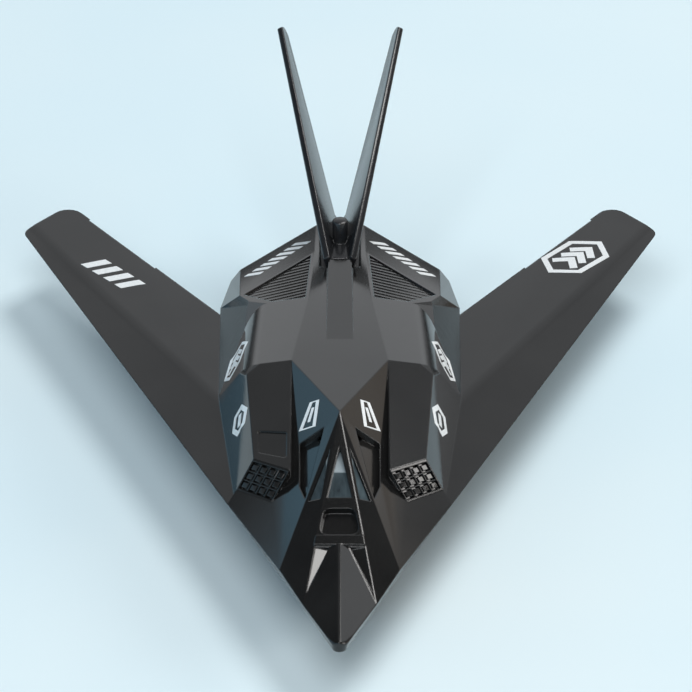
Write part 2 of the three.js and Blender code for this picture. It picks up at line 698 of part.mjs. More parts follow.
// A flat spiral strip, wound close, from the arbor out to the drum wall.
function mainspring() {
  const drumRadius = (gearModule * barrelTeeth) / 2 - dedendum;
  const outer = drumRadius - drumWall - looseFit;
  const inner = pinDiameter / 2 + 0.25;
  const turns = 4.5;
  const strip = 0.22;
  const steps = Math.round(turns * 16);
  const edge = (offset, i) => {
    const radius = inner + ((outer - strip - inner) * i) / steps + offset;
    const angle = (2 * Math.PI * turns * i) / steps;
    return new THREE.Vector2(radius * Math.cos(angle), radius * Math.sin(angle));
  };
  const points = [];
  for (let i = 0; i <= steps; i += 1) points.push(edge(0, i));
  for (let i = steps; i >= 0; i -= 1) points.push(edge(strip, i));
  const geometry = new THREE.ExtrudeGeometry(new THREE.Shape(points), { depth: 3, bevelEnabled: false });
  geometry.applyMatrix4(sideways).translate(-insideHalf + 0.9, barrelPlace.y, barrelPlace.z);
  return toSolid(geometry);
}

// ---------------------------------------------------------------- motor case
function caseReach(teeth) {
  return tipRadius(teeth) + 0.35 + caseWall;
}
function caseFront() {
  return barrelPlace.y - caseReach(barrelTeeth);
}
function caseRear() {
  return axlePlace.y + caseReach(axleTeeth);
}
function discPoints(place, radius, low, high) {
  const points = [];
  const sides = 20;
  for (let i = 0; i < sides; i += 1) {
    const angle = (2 * Math.PI * i) / sides;
    const y = place.y + radius * Math.cos(angle);
    const z = place.z + radius * Math.sin(angle);
    points.push(new THREE.Vector3(low, y, z), new THREE.Vector3(high, y, z));
  }
  return points;
}
function caseBlock(shrink, low, high) {
  return hull([...discPoints(axlePlace, caseReach(axleTeeth) - shrink, low, high),
    ...discPoints(idlerPlace, caseReach(idlerTeeth) - shrink, low, high),
    ...discPoints(barrelPlace, caseReach(barrelTeeth) - shrink, low, high)]);
}
function motorCase(side) {
  const split = 0.03;
  const low = side > 0 ? split : -caseHalf;
  const high = side > 0 ? caseHalf : -split;
  const roomLow = side > 0 ? -1 : -insideHalf;
  const roomHigh = side > 0 ? insideHalf : 1;
  const shell = caseBlock(0, low, high).subtract(caseBlock(caseWall, roomLow, roomHigh));
  const flangeZ = chineHeight - bellyDepth + floorWall + plateGap;
  const flange = boxBetween(new THREE.Vector3(low, caseFront() - 1.4, flangeZ),
    new THREE.Vector3(high, caseFront() + 2.4, flangeZ + 1)).add(
    boxBetween(new THREE.Vector3(low, caseRear() - 1.6, flangeZ),
      new THREE.Vector3(high, caseRear() + 1.4, flangeZ + 1)));
  const whole = shell.add(flange.subtract(caseBlock(caseWall / 2, low - 1, high + 1)));
  const bores = [rod(axleDiameter / 2 + runningFit, 40, axlePlace, 'x'),
    rod(pinDiameter / 2 + pressGap, 2 * insideHalf + caseWall + 0.1, idlerPlace, 'x'),
    rod(pinDiameter / 2 + pressGap, 2 * insideHalf + caseWall + 0.1, barrelPlace, 'x')];
  return whole.subtract(joinAll(bores));
}

// ---------------------------------------------------------------- screws
const screwGrip = 2.6;
const screwHeadTop = chineHeight + plateTop - screwGrip;
function screw(place) {
  const headBottom = screwHeadTop - screwHeadHeight;
  const head = turnedUp([[0, 0], [screwHeadDiameter / 2 - 0.4, 0], [screwHeadDiameter / 2, 0.5],
    [screwHeadDiameter / 2, screwHeadHeight], [0, screwHeadHeight]], place.clone().setZ(headBottom));
  const shankMiddle = place.clone().setZ(screwHeadTop + screwLength / 2 - 0.1);
  const shank = rod(screwDiameter / 2, screwLength + 0.2, shankMiddle, 'z', 16);
  const slotLong = new THREE.BoxGeometry(2.2, 0.5, 1.2).translate(place.x, place.y, headBottom);
  const slotAcross = new THREE.BoxGeometry(0.5, 2.2, 1.2).translate(place.x, place.y, headBottom);
  return head.add(shank).subtract(toSolid(slotLong)).subtract(toSolid(slotAcross));
}
function turnedUp(profile, place) {
  const points = profile.map(([radius, z]) => new THREE.Vector2(radius, z));
  const geometry = new THREE.LatheGeometry(points, 24).rotateX(Math.PI / 2);
  return toSolid(geometry.translate(place.x, place.y, place.z));
}

// ---------------------------------------------------------------- assembly
const blackPaint = 0x1b1c1e;
const blackPlastic = 0x161718;
const steel = 0xb8babd;
const whitePlastic = 0xdcd8cc;

addPiece('upper_casting', upperCasting(), blackPaint, 0.3, 0.2);
addPiece('base_plate', basePlate(), blackPlastic, 0.45, 0);
addPiece('canopy_glazing', canopyGlazing(), 0x5b6a72, 0.1, 0);
addPiece('v_tail', vTail(), blackPlastic, 0.25, 0);
addPiece('rear_axle', rearAxle(), steel, 0.25, 1);
addPiece('axle_pinion', axlePinion(), whitePlastic, 0.5, 0);
for (const [name, side] of [['left', 1], ['right', -1]]) {
  addPiece(`main_hub_${name}`, mainHub(side), blackPlastic, 0.4, 0);
  addPiece(`main_tyre_${name}`, mainTyre(side), 0x202020, 0.8, 0);
  addPiece(`motor_case_${name}`, motorCase(side), blackPlastic, 0.5, 0);
}
addPiece('nose_wheel', noseWheel(), 0x202020, 0.6, 0);
addPiece('nose_wheel_pin', noseWheelPin(), steel, 0.25, 1);
addPiece('idler_gear', idlerGear(), whitePlastic, 0.5, 0);
addPiece('idler_pin', idlerPin(), steel, 0.25, 1);
addPiece('spring_gear', springGear(), whitePlastic, 0.5, 0);
addPiece('spring_arbor', springArbor(), steel, 0.25, 1);
addPiece('mainspring', mainspring(), 0x8d9398, 0.3, 1);
addPiece('screw_front', screw(frontScrew), steel, 0.3, 1);
addPiece('screw_rear_right', screw(rearScrews[0]), steel, 0.3, 1);
addPiece('screw_rear_left', screw(rearScrews[1]), steel, 0.3, 1);

export default assembly;
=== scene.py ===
import math

import bmesh
import bpy
from mathutils import Matrix, Vector
from mathutils.bvhtree import BVHTree


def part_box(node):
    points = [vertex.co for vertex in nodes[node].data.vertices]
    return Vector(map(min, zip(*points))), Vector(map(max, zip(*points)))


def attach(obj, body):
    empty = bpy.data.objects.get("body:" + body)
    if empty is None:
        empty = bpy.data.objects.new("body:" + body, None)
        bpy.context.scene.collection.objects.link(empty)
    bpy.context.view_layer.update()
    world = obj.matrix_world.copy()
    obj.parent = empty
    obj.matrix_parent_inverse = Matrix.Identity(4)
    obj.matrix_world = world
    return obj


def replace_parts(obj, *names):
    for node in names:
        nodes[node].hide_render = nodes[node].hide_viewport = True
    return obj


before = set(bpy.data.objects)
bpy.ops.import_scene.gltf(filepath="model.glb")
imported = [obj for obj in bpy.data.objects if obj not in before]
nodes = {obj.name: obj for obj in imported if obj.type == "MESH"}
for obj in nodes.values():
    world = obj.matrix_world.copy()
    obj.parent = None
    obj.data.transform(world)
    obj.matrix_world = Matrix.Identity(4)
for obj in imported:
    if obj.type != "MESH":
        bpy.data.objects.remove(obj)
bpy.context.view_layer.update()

# ---------------------------------------------------------------- upper casting
# The toy's whole top is one zinc die casting: nose, canopy frame, intakes, deck, exhausts and both wings.
# It is cast to faceted shape, dipped in gloss black enamel, and everything else is screwed up into it.
MM = 0.001
NOSE_TIP = 1.91
EDGE_UNDER = 0.3
EDGE_TOP = 0.9
ROOF_WALL = 1.1
SWEEP = math.radians(67.3)
RIDGE_START = 10.6
CANOPY_START = 17.4
APEX_STATION = 38.5
casting_low, casting_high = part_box("upper_casting")
chine = casting_low.z / MM + EDGE_UNDER
half_span = casting_high.x / MM


def at(x, station, height):
    """A point of the airframe: x to port, station aft of the nose, height above the chine."""
    return Vector((x, casting_low.y / MM + station - NOSE_TIP, chine + height)) * MM


def mix(a, b, t):
    return a.lerp(b, t)


def across(point):
    """The same point on the other side of the centre line."""
    return Vector((-point.x, point.y, point.z))


def mirrored(points):
    return [across(p) for p in points]


def leading_edge(station, height=EDGE_TOP):
    return at(station / math.tan(SWEEP), station, height)


LIP_FRONT = 18.95
corner = {
    "ridge_foot": leading_edge(RIDGE_START),
    "canopy_foot": leading_edge(CANOPY_START, EDGE_TOP + 0.5),
    "wing_start": leading_edge(33),
    "grille_foot_in": at(8.3, 30.2, 3),
    "grille_foot_out": at(12.7, 34.2, 2.3),
    "nacelle_foot": at(13.0, 34.4, 1.25),
    "nacelle_in": at(6.1, 32.4, 6.3),
    "nacelle_out": at(10.6, 35.6, 5.9),
    "valley": at(6.05, 33, 4.9),
    "apex": at(0, APEX_STATION, 11),
    "shoulder_in": at(6.05, 53.1, 9.5),
    "shoulder_out": at(11.75, 53.3, 8.6),
    "root_front": at(15.3, 56.3, 2),
    "root_rear": at(15.45, 79.3, 1.5),
    "vent_in": at(4, 72.2, 7.2),
    "vent_out": at(11, 72.7, 5.9),
    "vent_corner": at(12.9, 76.8, 4.9),
    "vent_end": at(3.3, 88.7, 4.6),
    "side": at(14.2, 85.7, 1.8),
    "lip_out": at(13, 88, 2.2),
    "lip_in": at(3.2, 99.6, 2.2),
    "tail": at(0, 100.2, 2.2),
    "nose_top": at(0, LIP_FRONT, 4.35),
    "nose_shoulder": at(0.98, LIP_FRONT, 3.92),
    "crease_mid": at(31, 84, 1.4),
}


def round_corner(before, tip, after, radius, steps=6):
    """The arc that blends two straight runs meeting at a corner, in plan."""
    back = (before - tip).normalized()
    ahead = (after - tip).normalized()
    half = back.angle(ahead) / 2
    centre = tip + (back + ahead).normalized() * (radius / math.sin(half))
    start = tip + back * (radius / math.tan(half)) - centre
    turn = math.pi - 2 * half
    side = 1 if back.cross(ahead).z < 0 else -1
    return [centre + Matrix.Rotation(side * turn * i / steps, 3, "Z") @ start for i in range(steps + 1)]


TIP_CHORD = 9.5
TIP_CORNER = 2.1 * MM
ELEVON_STEP = Vector((0.12, -0.24, 0)) * MM
wing_lead = leading_edge((half_span + 0.42) * math.tan(SWEEP), EDGE_TOP - 0.1)
wing_trail = wing_lead + Vector((-0.62, 0.78, 0)).normalized() * TIP_CHORD * MM
wing_rear = at(15.45, 78.7, EDGE_TOP)
elevon_in = mix(wing_rear, wing_trail, 0.42)
elevon_out = mix(wing_rear, wing_trail, 0.86)
tip_lead = round_corner(corner["wing_start"], wing_lead, wing_trail, TIP_CORNER)
tip_trail = round_corner(wing_lead, wing_trail, elevon_out, TIP_CORNER)
corner["crease_end"] = mix(tip_lead[-1], tip_trail[0], 0.15) + Vector((0, 0, 0.12)) * MM
NOSE_RADIUS = 1.2
NOSE_SLOPE = 0.182
nose_arc = []
for i in range(6):
    angle = SWEEP * i / 5
    x = NOSE_RADIUS * math.sin(angle)
    station = NOSE_TIP + NOSE_RADIUS * (1 - math.cos(angle))
    nose_arc.append(at(x, station, EDGE_TOP + NOSE_SLOPE * (station - x * math.tan(SWEEP))))


def shell_faces():
    """The casting's top facets on the port side, each a loop of corners seen from above."""
    c = corner
    facets = [[c["nose_top"], c["nose_shoulder"], c["ridge_foot"], *reversed(nose_arc)]]
    named = (
        "ridge_foot canopy_foot apex|canopy_foot valley apex|valley shoulder_in apex|"
        "canopy_foot grille_foot_in valley|"
        "canopy_foot wing_start nacelle_foot grille_foot_out grille_foot_in|"
        "valley grille_foot_in nacelle_in|valley nacelle_in shoulder_in|"
        "grille_foot_in grille_foot_out nacelle_out nacelle_in|"
        "nacelle_in nacelle_out shoulder_out shoulder_in|"
        "nacelle_out grille_foot_out shoulder_out|grille_foot_out nacelle_foot root_front shoulder_out|"
        "shoulder_in shoulder_out vent_out vent_in|shoulder_out root_front vent_out|"
        "root_front root_rear vent_out|vent_out root_rear vent_corner|root_rear side vent_corner|"
        "vent_corner side lip_out|vent_in vent_out vent_corner vent_end|vent_corner lip_out lip_in vent_end"
    )
    facets += [[c[name] for name in loop.split()] for loop in named.split("|")]
    facets.append([c["nacelle_foot"], c["wing_start"], tip_lead[0], c["crease_mid"], c["root_front"]])
    facets.append([c["crease_mid"], *tip_lead, c["crease_end"]])
    facets.append([c["crease_end"], *tip_trail, elevon_out, elevon_out + ELEVON_STEP, c["crease_mid"]])
    elevon = [elevon_out + ELEVON_STEP, elevon_in + ELEVON_STEP, elevon_in]
    facets.append([c["crease_mid"], *elevon, wing_rear, c["root_front"]])
    facets.append([c["root_front"], wing_rear, c["root_rear"]])
    return facets


def middle_faces():
    """Facets that cross the centre line."""
    c = corner
    loops = [[c["shoulder_in"], across(c["shoulder_in"]), c["apex"]]]
    for front, back in (("shoulder_in", "vent_in"), ("vent_in", "vent_end"), ("vent_end", "lip_in")):
        loops.append([c[front], c[back], across(c[back]), across(c[front])])
    loops.append([c["lip_in"], c["tail"], across(c["lip_in"])])
    loops.append([c["ridge_foot"], c["apex"], across(c["ridge_foot"]),
                  across(c["nose_shoulder"]), c["nose_shoulder"]])
    loops.append([c["nose_shoulder"], across(c["nose_shoulder"]), c["nose_top"]])
    return loops


def outline():
    """The casting's edge in plan on the port side, from the nose round to the tail."""
    c = corner
    loop = [*nose_arc, c["ridge_foot"], c["canopy_foot"], c["wing_start"], *tip_lead]
    loop += [c["crease_end"], *tip_trail, elevon_out]
    loop += [elevon_out + ELEVON_STEP, elevon_in + ELEVON_STEP, elevon_in, wing_rear, c["root_rear"]]
    return loop + [c["side"], c["lip_out"], c["lip_in"], c["tail"]]


def as_piece(shape, name):
    """Turns worked faces into a piece in the scene."""
    mesh = bpy.data.meshes.new(name)
    shape.to_mesh(mesh)
    shape.free()
    piece = bpy.data.objects.new(name, mesh)
    bpy.context.scene.collection.objects.link(piece)
    return piece


def joined_mesh(name, loops):
    """A closed mesh from loops of points, with shared corners merged and its faces turned outwards."""
    shape = bmesh.new()
    for loop in loops:
        shape.faces.new([shape.verts.new(p) for p in loop])
    bmesh.ops.remove_doubles(shape, verts=shape.verts, dist=1e-6)
    bmesh.ops.recalc_face_normals(shape, faces=shape.faces)
    return as_piece(shape, name)


EDGE_DRAFT = 0.7
NOSE_DRAFT = 0.3
NOSE_LENGTH = 20


def under_edge(loop):
    """The plan outline at the flat underside, drawn in all round as casting draft, less at the nose."""
    foot = []
    for i, here in enumerate(loop):
        ahead = (loop[(i + 1) % len(loop)] - here).xy.normalized()
        back = (here - loop[i - 1]).xy.normalized()
        inward = Vector((-ahead.y - back.y, ahead.x + back.x)) / (1 + ahead.dot(back))
        aft_share = min(1, max(0, (here.y - casting_low.y) / MM / NOSE_LENGTH))
        draft = NOSE_DRAFT + (EDGE_DRAFT - NOSE_DRAFT) * aft_share
        foot.append(Vector((*(here.xy + inward * draft * MM), (chine - EDGE_UNDER) * MM)))
    return foot


def casting_skin(name):
    """The casting's outside as a closed body standing on its flat underside."""
    port = shell_faces()
    rim = outline()
    loops = port + [mirrored(loop) for loop in port] + middle_faces()
    whole = rim + mirrored(reversed(rim[1:-1]))
    foot = under_edge(whole)
    for i in range(len(whole)):
        loops.append([whole[i - 1], whole[i], foot[i], foot[i - 1]])
    loops.append(foot)
    return joined_mesh(name, loops)


def block(name, low_loop, high_loop):
    """A prism between two loops that have the same number of corners."""
    count = len(low_loop)
    loops = [list(reversed(low_loop)), list(high_loop)]
    for i in range(count):
        j = (i + 1) % count
        loops.append([low_loop[i], low_loop[j], high_loop[j], high_loop[i]])
    return joined_mesh(name, loops)


def facet_normal(loop):
    normal = (loop[1] - loop[0]).cross(loop[2] - loop[0]).normalized()
    return normal if normal.z > 0 else -normal


def inset(loop, distance):
    """Moves each corner of a flat loop inwards by a set distance in mm from both its edges."""
    moved = []
    for i, here in enumerate(loop):
        back = (loop[i - 1] - here).normalized()
        ahead = (loop[(i + 1) % len(loop)] - here).normalized()
        half = back.angle(ahead) / 2
        moved.append(here + (back + ahead).normalized() * (distance * MM / math.sin(half)))
    return moved


def rounded(loop, radius, steps=4):
    """The same flat loop with each corner turned into an arc."""
    arcs = []
    for i, here in enumerate(loop):
        back = (loop[i - 1] - here).normalized()
        ahead = (loop[(i + 1) % len(loop)] - here).normalized()
        half = back.angle(ahead) / 2
        centre = here + (back + ahead).normalized() * (radius * MM / math.sin(half))
        axis = ahead.cross(back).normalized()
        start = here + back * (radius * MM / math.tan(half)) - centre
        turn = math.pi - 2 * half
        arcs += [centre + Matrix.Rotation(turn * k / steps, 3, axis) @ start for k in range(steps + 1)]
    return arcs


def sunk(name, loop, depth, proud=2):
    """A cutter that sinks a flat loop into its facet."""
    normal = facet_normal(loop)
    return block(name, [p - normal * depth * MM for p in loop], [p + normal * proud * MM for p in loop])


def flip(piece):
    """The same piece on the other side of the centre line."""
    other = piece.copy()
    other.data = piece.data.copy()
    other.data.transform(Matrix.Scale(-1, 4, (1, 0, 0)))
    other.data.flip_normals()
    bpy.context.scene.collection.objects.link(other)
    return other


def settle(piece):
    """Bakes a piece's modifiers into a plain mesh."""
    view = bpy.context.evaluated_depsgraph_get()
    mesh = bpy.data.meshes.new_from_object(piece.evaluated_get(view))
    piece.modifiers.clear()
    piece.data = mesh
    return piece


def combine(piece, others, operation="DIFFERENCE"):
    """Cuts other bodies from a piece, or joins or meets them with it."""
    for other in others:
        step = piece.modifiers.new(other.name, "BOOLEAN")
        step.operation = operation
        step.solver = "EXACT"
        step.object = other
    settle(piece)
    for other in others:
        bpy.data.objects.remove(other)
    return piece


def both(piece):
    return [piece, flip(piece)]


def soften(piece, edges, width, segments=4):
    """Rounds chosen edges, each given by its two ends."""
    shape = bmesh.new()
    shape.from_mesh(piece.data)
    chosen = []
    for edge in shape.edges:
        for a, b in edges:
            start, stop = [v.co for v in edge.verts]
            same_way = (start - a).length + (stop - b).length
            other_way = (start - b).length + (stop - a).length
            if min(same_way, other_way) < 0.05 * MM:
                chosen.append(edge)
    bmesh.ops.bevel(shape, geom=chosen, offset=width * MM, segments=segments, profile=0.5, affect="EDGES",
                    clamp_overlap=True)
    shape.to_mesh(piece.data)
    shape.free()


WHEEL_GAP = 0.8
SHOULDER_ROUND = 1.7
CREASE_ROUND = 2.6
NOSE_ROUND = 0.42
casting = casting_skin("casting_body")
room_roof = casting_skin("room_roof")
room_roof.data.transform(Matrix.Translation((0, 0, -ROOF_WALL * MM)))
tyre_low, tyre_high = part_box("main_tyre_left")
room_half = tyre_high.x / MM + WHEEL_GAP
room_plan = [(3.8, 25.1), (5, 38.5), (room_half, 43.5), (room_half, 81.7)]
room_plan += [(-x, s) for x, s in reversed(room_plan)]
room = block("room", [at(x, s, -6) for x, s in room_plan], [at(x, s, 14) for x, s in room_plan])
combine(room, [room_roof], "INTERSECT")

nose_rim = [*mirrored(reversed(nose_arc[1:])), *nose_arc]
soften(casting, [(corner["nose_top"], nose_arc[0]), *zip(nose_rim, nose_rim[1:])], NOSE_ROUND)
for side in (list, mirrored):
    shoulder = side([corner["shoulder_out"], corner["vent_out"]])
    crease = side([corner["root_front"], corner["crease_mid"], corner["crease_end"]])
    soften(casting, [shoulder], SHOULDER_ROUND, 6)
    soften(casting, [*zip(crease, crease[1:])], CREASE_ROUND, 6)

spine_loop = [at(1.7, 59.6, 8.72), at(1.5, 82.8, 6.75), at(-1.5, 82.8, 6.75), at(-1.7, 59.6, 8.72)]
spine_base = [at(1.9, 59.6, 3), at(1.9, 82.8, 3), at(-1.9, 82.8, 3), at(-1.9, 59.6, 3)]
spine = block("spine", spine_base, spine_loop)

GLASS_STATION = 25.4
WINDSCREEN_BAR = 0.5
QUARTER_BAR = 0.42
SENSOR_BAR = 0.4
SENSOR_CORNER = 0.95


def on_ridge(station):
    share = (station - RIDGE_START) / (APEX_STATION - RIDGE_START)
    return mix(corner["ridge_foot"], corner["apex"], share)


def on_canopy_foot(station):
    share = (station - CANOPY_START) / (APEX_STATION - CANOPY_START)
    return mix(corner["canopy_foot"], corner["apex"], share)


lip_loop = [across(on_ridge(LIP_FRONT)), on_ridge(LIP_FRONT), on_ridge(20.3), across(on_ridge(20.3))]
lip = sunk("sensor_lip", lip_loop, 1.5, 0.3)
combine(casting, [spine, lip], "UNION")

windscreen = [across(on_ridge(GLASS_STATION)), on_ridge(GLASS_STATION), at(0, 35.8, 10.02)]
windscreen = inset(windscreen, WINDSCREEN_BAR)
quarter = inset([on_ridge(GLASS_STATION), on_canopy_foot(GLASS_STATION + 0.6), on_ridge(37)], QUARTER_BAR)
sensor = [across(on_ridge(20.2)), on_ridge(20.2), on_ridge(24.7), across(on_ridge(24.7))]
sensor = rounded(inset(sensor, SENSOR_BAR), SENSOR_CORNER)
sliver = inset([corner["ridge_foot"], on_ridge(LIP_FRONT), corner["nose_shoulder"]], 0.2)
gutter_floor = [at(1.9, 37.6, 8.1), at(4.9, 37.6, 6), at(4.9, 30, 4.3), at(4.2, 27, 4.7)]
gutter_top = [p + Vector((0, 0, 8)) * MM for p in gutter_floor]
cuts = [sunk("windscreen_cut", windscreen, 4), sunk("sensor_cut", sensor, 1)]
cuts += both(sunk("quarter_cut", quarter, 4))
sliver_floor = [sliver[0], sliver[1] - Vector((0, 0, 0.1)) * MM, sliver[2] - Vector((0, 0, 0.42)) * MM]
cuts += both(block("sliver_cut", sliver_floor, [p + Vector((0, 0, 2)) * MM for p in sliver]))
cuts += both(block("gutter_cut", gutter_floor, gutter_top))

intake_edges = (("nacelle_in", "grille_foot_in"), ("nacelle_out", "grille_foot_out"))
grille_top = [mix(corner[top], corner[foot], 0.05) for top, foot in intake_edges]
grille_foot = [mix(corner[top], corner[foot], 0.97) for top, foot in intake_edges]
grille_loop = inset([grille_foot[0], grille_foot[1], grille_top[1], grille_top[0]], 0.15)
GRILLE_DEPTH = 0.6
cuts += both(sunk("grille_cut", grille_loop, GRILLE_DEPTH, 1))

vent_loop = [corner["vent_in"], corner["vent_out"], corner["vent_corner"], corner["vent_end"]]
VENT_DEPTH = 0.3
vent_pan = inset([vent_loop[0], mix(vent_loop[1], vent_loop[0], 0.3), *vent_loop[2:]], 0.45)
cuts += both(sunk("vent_cut", vent_pan, VENT_DEPTH, 2))

panel_in = [mix(corner["nacelle_in"], corner["shoulder_in"], share) for share in (0.1, 0.34)]
panel_out = [mix(corner["nacelle_out"], corner["shoulder_out"], share) for share in (0.08, 0.3)]
panel_near, panel_far = zip(panel_in, panel_out)
panel_loop = [mix(*panel_near, 0.1), mix(*panel_near, 0.84), mix(*panel_far, 0.84), mix(*panel_far, 0.1)]
panel_loop = mirrored(panel_loop)
cuts.append(sunk("panel_cut", rounded(panel_loop, 0.3), 0.22, 1))

pocket = [at(-2.65, 83.1, 3.25), at(2.65, 83.1, 3.25), at(2.65, 97.35, 3.25), at(-2.65, 97.35, 3.25)]
cuts.append(block("tail_pocket", pocket, [p + Vector((0, 0, 9)) * MM for p in pocket]))
cuts.append(room)


def turned(name, profile, place, axis, sides=48):
    """A closed turned body; the profile is (radius, along) pairs in mm round an axis through a place."""
    shape = bmesh.new()
    turn = Vector((0, 0, 1)).rotation_difference(axis).to_matrix()
    rings = []
    for radius, along in profile:
        ring = []
        for i in range(sides):
            angle = math.tau * i / sides
            here = Vector((radius * math.cos(angle), radius * math.sin(angle), along)) * MM
            ring.append(shape.verts.new(place + turn @ here))
        rings.append(ring)
    for ring, after in zip(rings, rings[1:] + rings[:1]):
        for i in range(sides):
            j = (i + 1) % sides
            shape.faces.new([ring[i], ring[j], after[j], after[i]])
    bmesh.ops.remove_doubles(shape, verts=shape.verts, dist=1e-7)
    bmesh.ops.recalc_face_normals(shape, faces=shape.faces)
    return as_piece(shape, name)


SIDEWAYS = Vector((1, 0, 0))
UPRIGHT = Vector((0, 0, 1))
wheel_place = (tyre_low + tyre_high) / 2
wheel_radius = (tyre_high.z - tyre_low.z) / 2 / MM
ARCH_HALF = 2.1
arch_radius = wheel_radius + 0.6
arch = [(0, -ARCH_HALF), (arch_radius, -ARCH_HALF), (arch_radius, ARCH_HALF), (0, ARCH_HALF)]
PILOT_RADIUS = 0.92
PILOT_DEPTH = 6
pilot = [(0, -PILOT_DEPTH), (PILOT_RADIUS, -PILOT_DEPTH), (PILOT_RADIUS, 0.3), (0, 0.3)]
cuts += both(turned("wheel_arch", arch, wheel_place, SIDEWAYS, 40))
for name in ("screw_front", "screw_rear_left", "screw_rear_right"):
    screw_low, screw_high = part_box(name)
    middle = (screw_low + screw_high) / 2
    middle.z = screw_high.z
    cuts.append(turned("pilot_hole", pilot, middle, UPRIGHT, 24))
combine(casting, cuts)


SLIVER = 0.002 * MM


def tidy_mesh(piece):
    """Merges corners that a cut left on top of each other, and removes the slivers between them."""
    shape = bmesh.new()
    shape.from_mesh(piece.data)
    bmesh.ops.remove_doubles(shape, verts=shape.verts, dist=SLIVER)
    bmesh.ops.dissolve_degenerate(shape, edges=shape.edges, dist=SLIVER)
    loose = [edge for edge in shape.edges if len(edge.link_faces) == 1]
    bmesh.ops.holes_fill(shape, edges=loose, sides=6)
    shape.to_mesh(piece.data)
    shape.free()


tidy_mesh(casting)


class Wire:
    """A socket of a node tree that takes part in Python expressions."""

    def __init__(self, tree, socket):
        self.tree = tree
        self.socket = socket

    def math(self, operation, first, second):
        step = self.tree.nodes.new("ShaderNodeMath")
        step.operation = operation
        for slot, value in zip(step.inputs, (first, second)):
            if isinstance(value, Wire):
                self.tree.links.new(value.socket, slot)
            else:
                slot.default_value = value
        return Wire(self.tree, step.outputs[0])

    def __add__(self, other):
        return self.math("ADD", self, other)

    def __sub__(self, other):
        return self.math("SUBTRACT", self, other)

    def __rsub__(self, other):
        return self.math("SUBTRACT", other, self)

    def __mul__(self, other):
        return self.math("MULTIPLY", self, other)

    __radd__ = __add__
    __rmul__ = __mul__


class Maker:
    """A node tree being made."""

    def __init__(self, tree):
        self.tree = tree

    def node(self, kind, settings, sockets, output=0):
        """Adds a node: its settings first, then the values or links of its sockets."""
        made = self.tree.nodes.new(kind)
        for name, value in settings.items():
            if name == "stops":
                for stop, (place, shade) in zip(made.color_ramp.elements, value):
                    stop.position = place
                    stop.color = (*shade, 1)
            else:
                setattr(made, name, value)
        for name, value in sockets.items():
            slot = [each for each in made.inputs if each.name == name and each.enabled][0]
            if isinstance(value, Wire):
                self.tree.links.new(value.socket, slot)
            else:
                slot.default_value = value
        live = [each for each in made.outputs if each.enabled]
        if isinstance(output, str):
            output = [each.name for each in live].index(output)
        return Wire(self.tree, live[output])

    def split(self, vector):
        """The X, Y and Z of a vector."""
        parts = self.node("ShaderNodeSeparateXYZ", {}, {"Vector": vector}).socket.node.outputs
        return [Wire(self.tree, part) for part in parts]


class Finish(Maker):
    """A material being made: its node tree, its shader, and what feeds them."""

    def __init__(self, name, **sockets):
        self.material = bpy.data.materials.new(name)
        self.material.use_nodes = True
        super().__init__(self.material.node_tree)
        self.shader = self.tree.nodes["Principled BSDF"]
        for socket, value in sockets.items():
            self.shader.inputs[socket.replace("_", " ")].default_value = value

    def place(self, scale=(1, 1, 1)):
        """Object coordinates, stretched."""
        here = self.node("ShaderNodeTexCoord", {}, {}, "Object")
        return self.node("ShaderNodeMapping", {}, {"Vector": here, "Scale": scale})

    def speckle(self, scale, detail=3, stretch=(1, 1, 1)):
        """Noise of a given scale per metre, from 0 to 1."""
        sockets = {"Vector": self.place(stretch), "Scale": scale, "Detail": detail}
        return self.node("ShaderNodeTexNoise", {}, sockets, "Fac")

    def feed(self, socket, wire):
        self.tree.links.new(wire.socket, self.shader.inputs[socket])

    def tint(self, amount, dark, light):
        """A colour between two shades."""
        stops = ((0.25, dark), (0.75, light))
        return self.node("ShaderNodeValToRGB", {"stops": stops}, {"Fac": amount}, "Color")

    def relief(self, height, strength, distance, edge=0.0):
        """Bump from a height, over edges rounded by a small radius."""
        sockets = {"Height": height, "Strength": strength, "Distance": distance}
        if edge:
            sockets["Normal"] = self.node("ShaderNodeBevel", {"samples": 6}, {"Radius": edge * MM})
        self.feed("Normal", self.node("ShaderNodeBump", {}, sockets, "Normal"))


def black_enamel(name, edge):
    """Dipped gloss enamel: slight orange peel, dust haze in patches, hairline rubs, edges that pool."""
    paint = Finish(name, IOR=1.5)
    haze = paint.speckle(90, 4)
    peel = paint.speckle(1400, 2)
    dust = paint.speckle(5200, 2)
    rubs = paint.speckle(700, 3, (6, 0.6, 6))
    paint.feed("Base Color", paint.tint(haze, (0.006, 0.0062, 0.0065), (0.012, 0.012, 0.012)))
    paint.feed("Roughness", 0.06 + haze * 0.06 + rubs * 0.05)
    paint.relief(peel * 0.8 + dust * 0.2, 0.12, 0.02 * MM, edge)
    return paint.material


enamel = black_enamel("black_enamel", 0.22)


def shade_flat_smooth(piece, angle=9):
    """Smooth shading over small angles, with crisp facets kept."""
    piece.data.shade_smooth()
    shape = bmesh.new()
    shape.from_mesh(piece.data)
    for edge in shape.edges:
        edge.smooth = not (len(edge.link_faces) == 2 and edge.calc_face_angle(0) > math.radians(angle))
    shape.to_mesh(piece.data)
    shape.free()


def dress(piece, material):
    piece.data.materials.clear()
    piece.data.materials.append(material)


shade_flat_smooth(casting)
dress(casting, enamel)
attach(casting, "airframe")
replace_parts(casting, "upper_casting")

# ---------------------------------------------------------------- intake grilles and exhaust ribs
# Each intake is an egg-crate of cast bars with a square boss in every cell, and each exhaust is a sunk
# ramp with close ribs across it. Both belong to the casting and share its enamel.
fine_enamel = black_enamel("black_enamel_fine", 0.05)
GRILLE_COLUMNS = 4
GRILLE_ROWS = 3


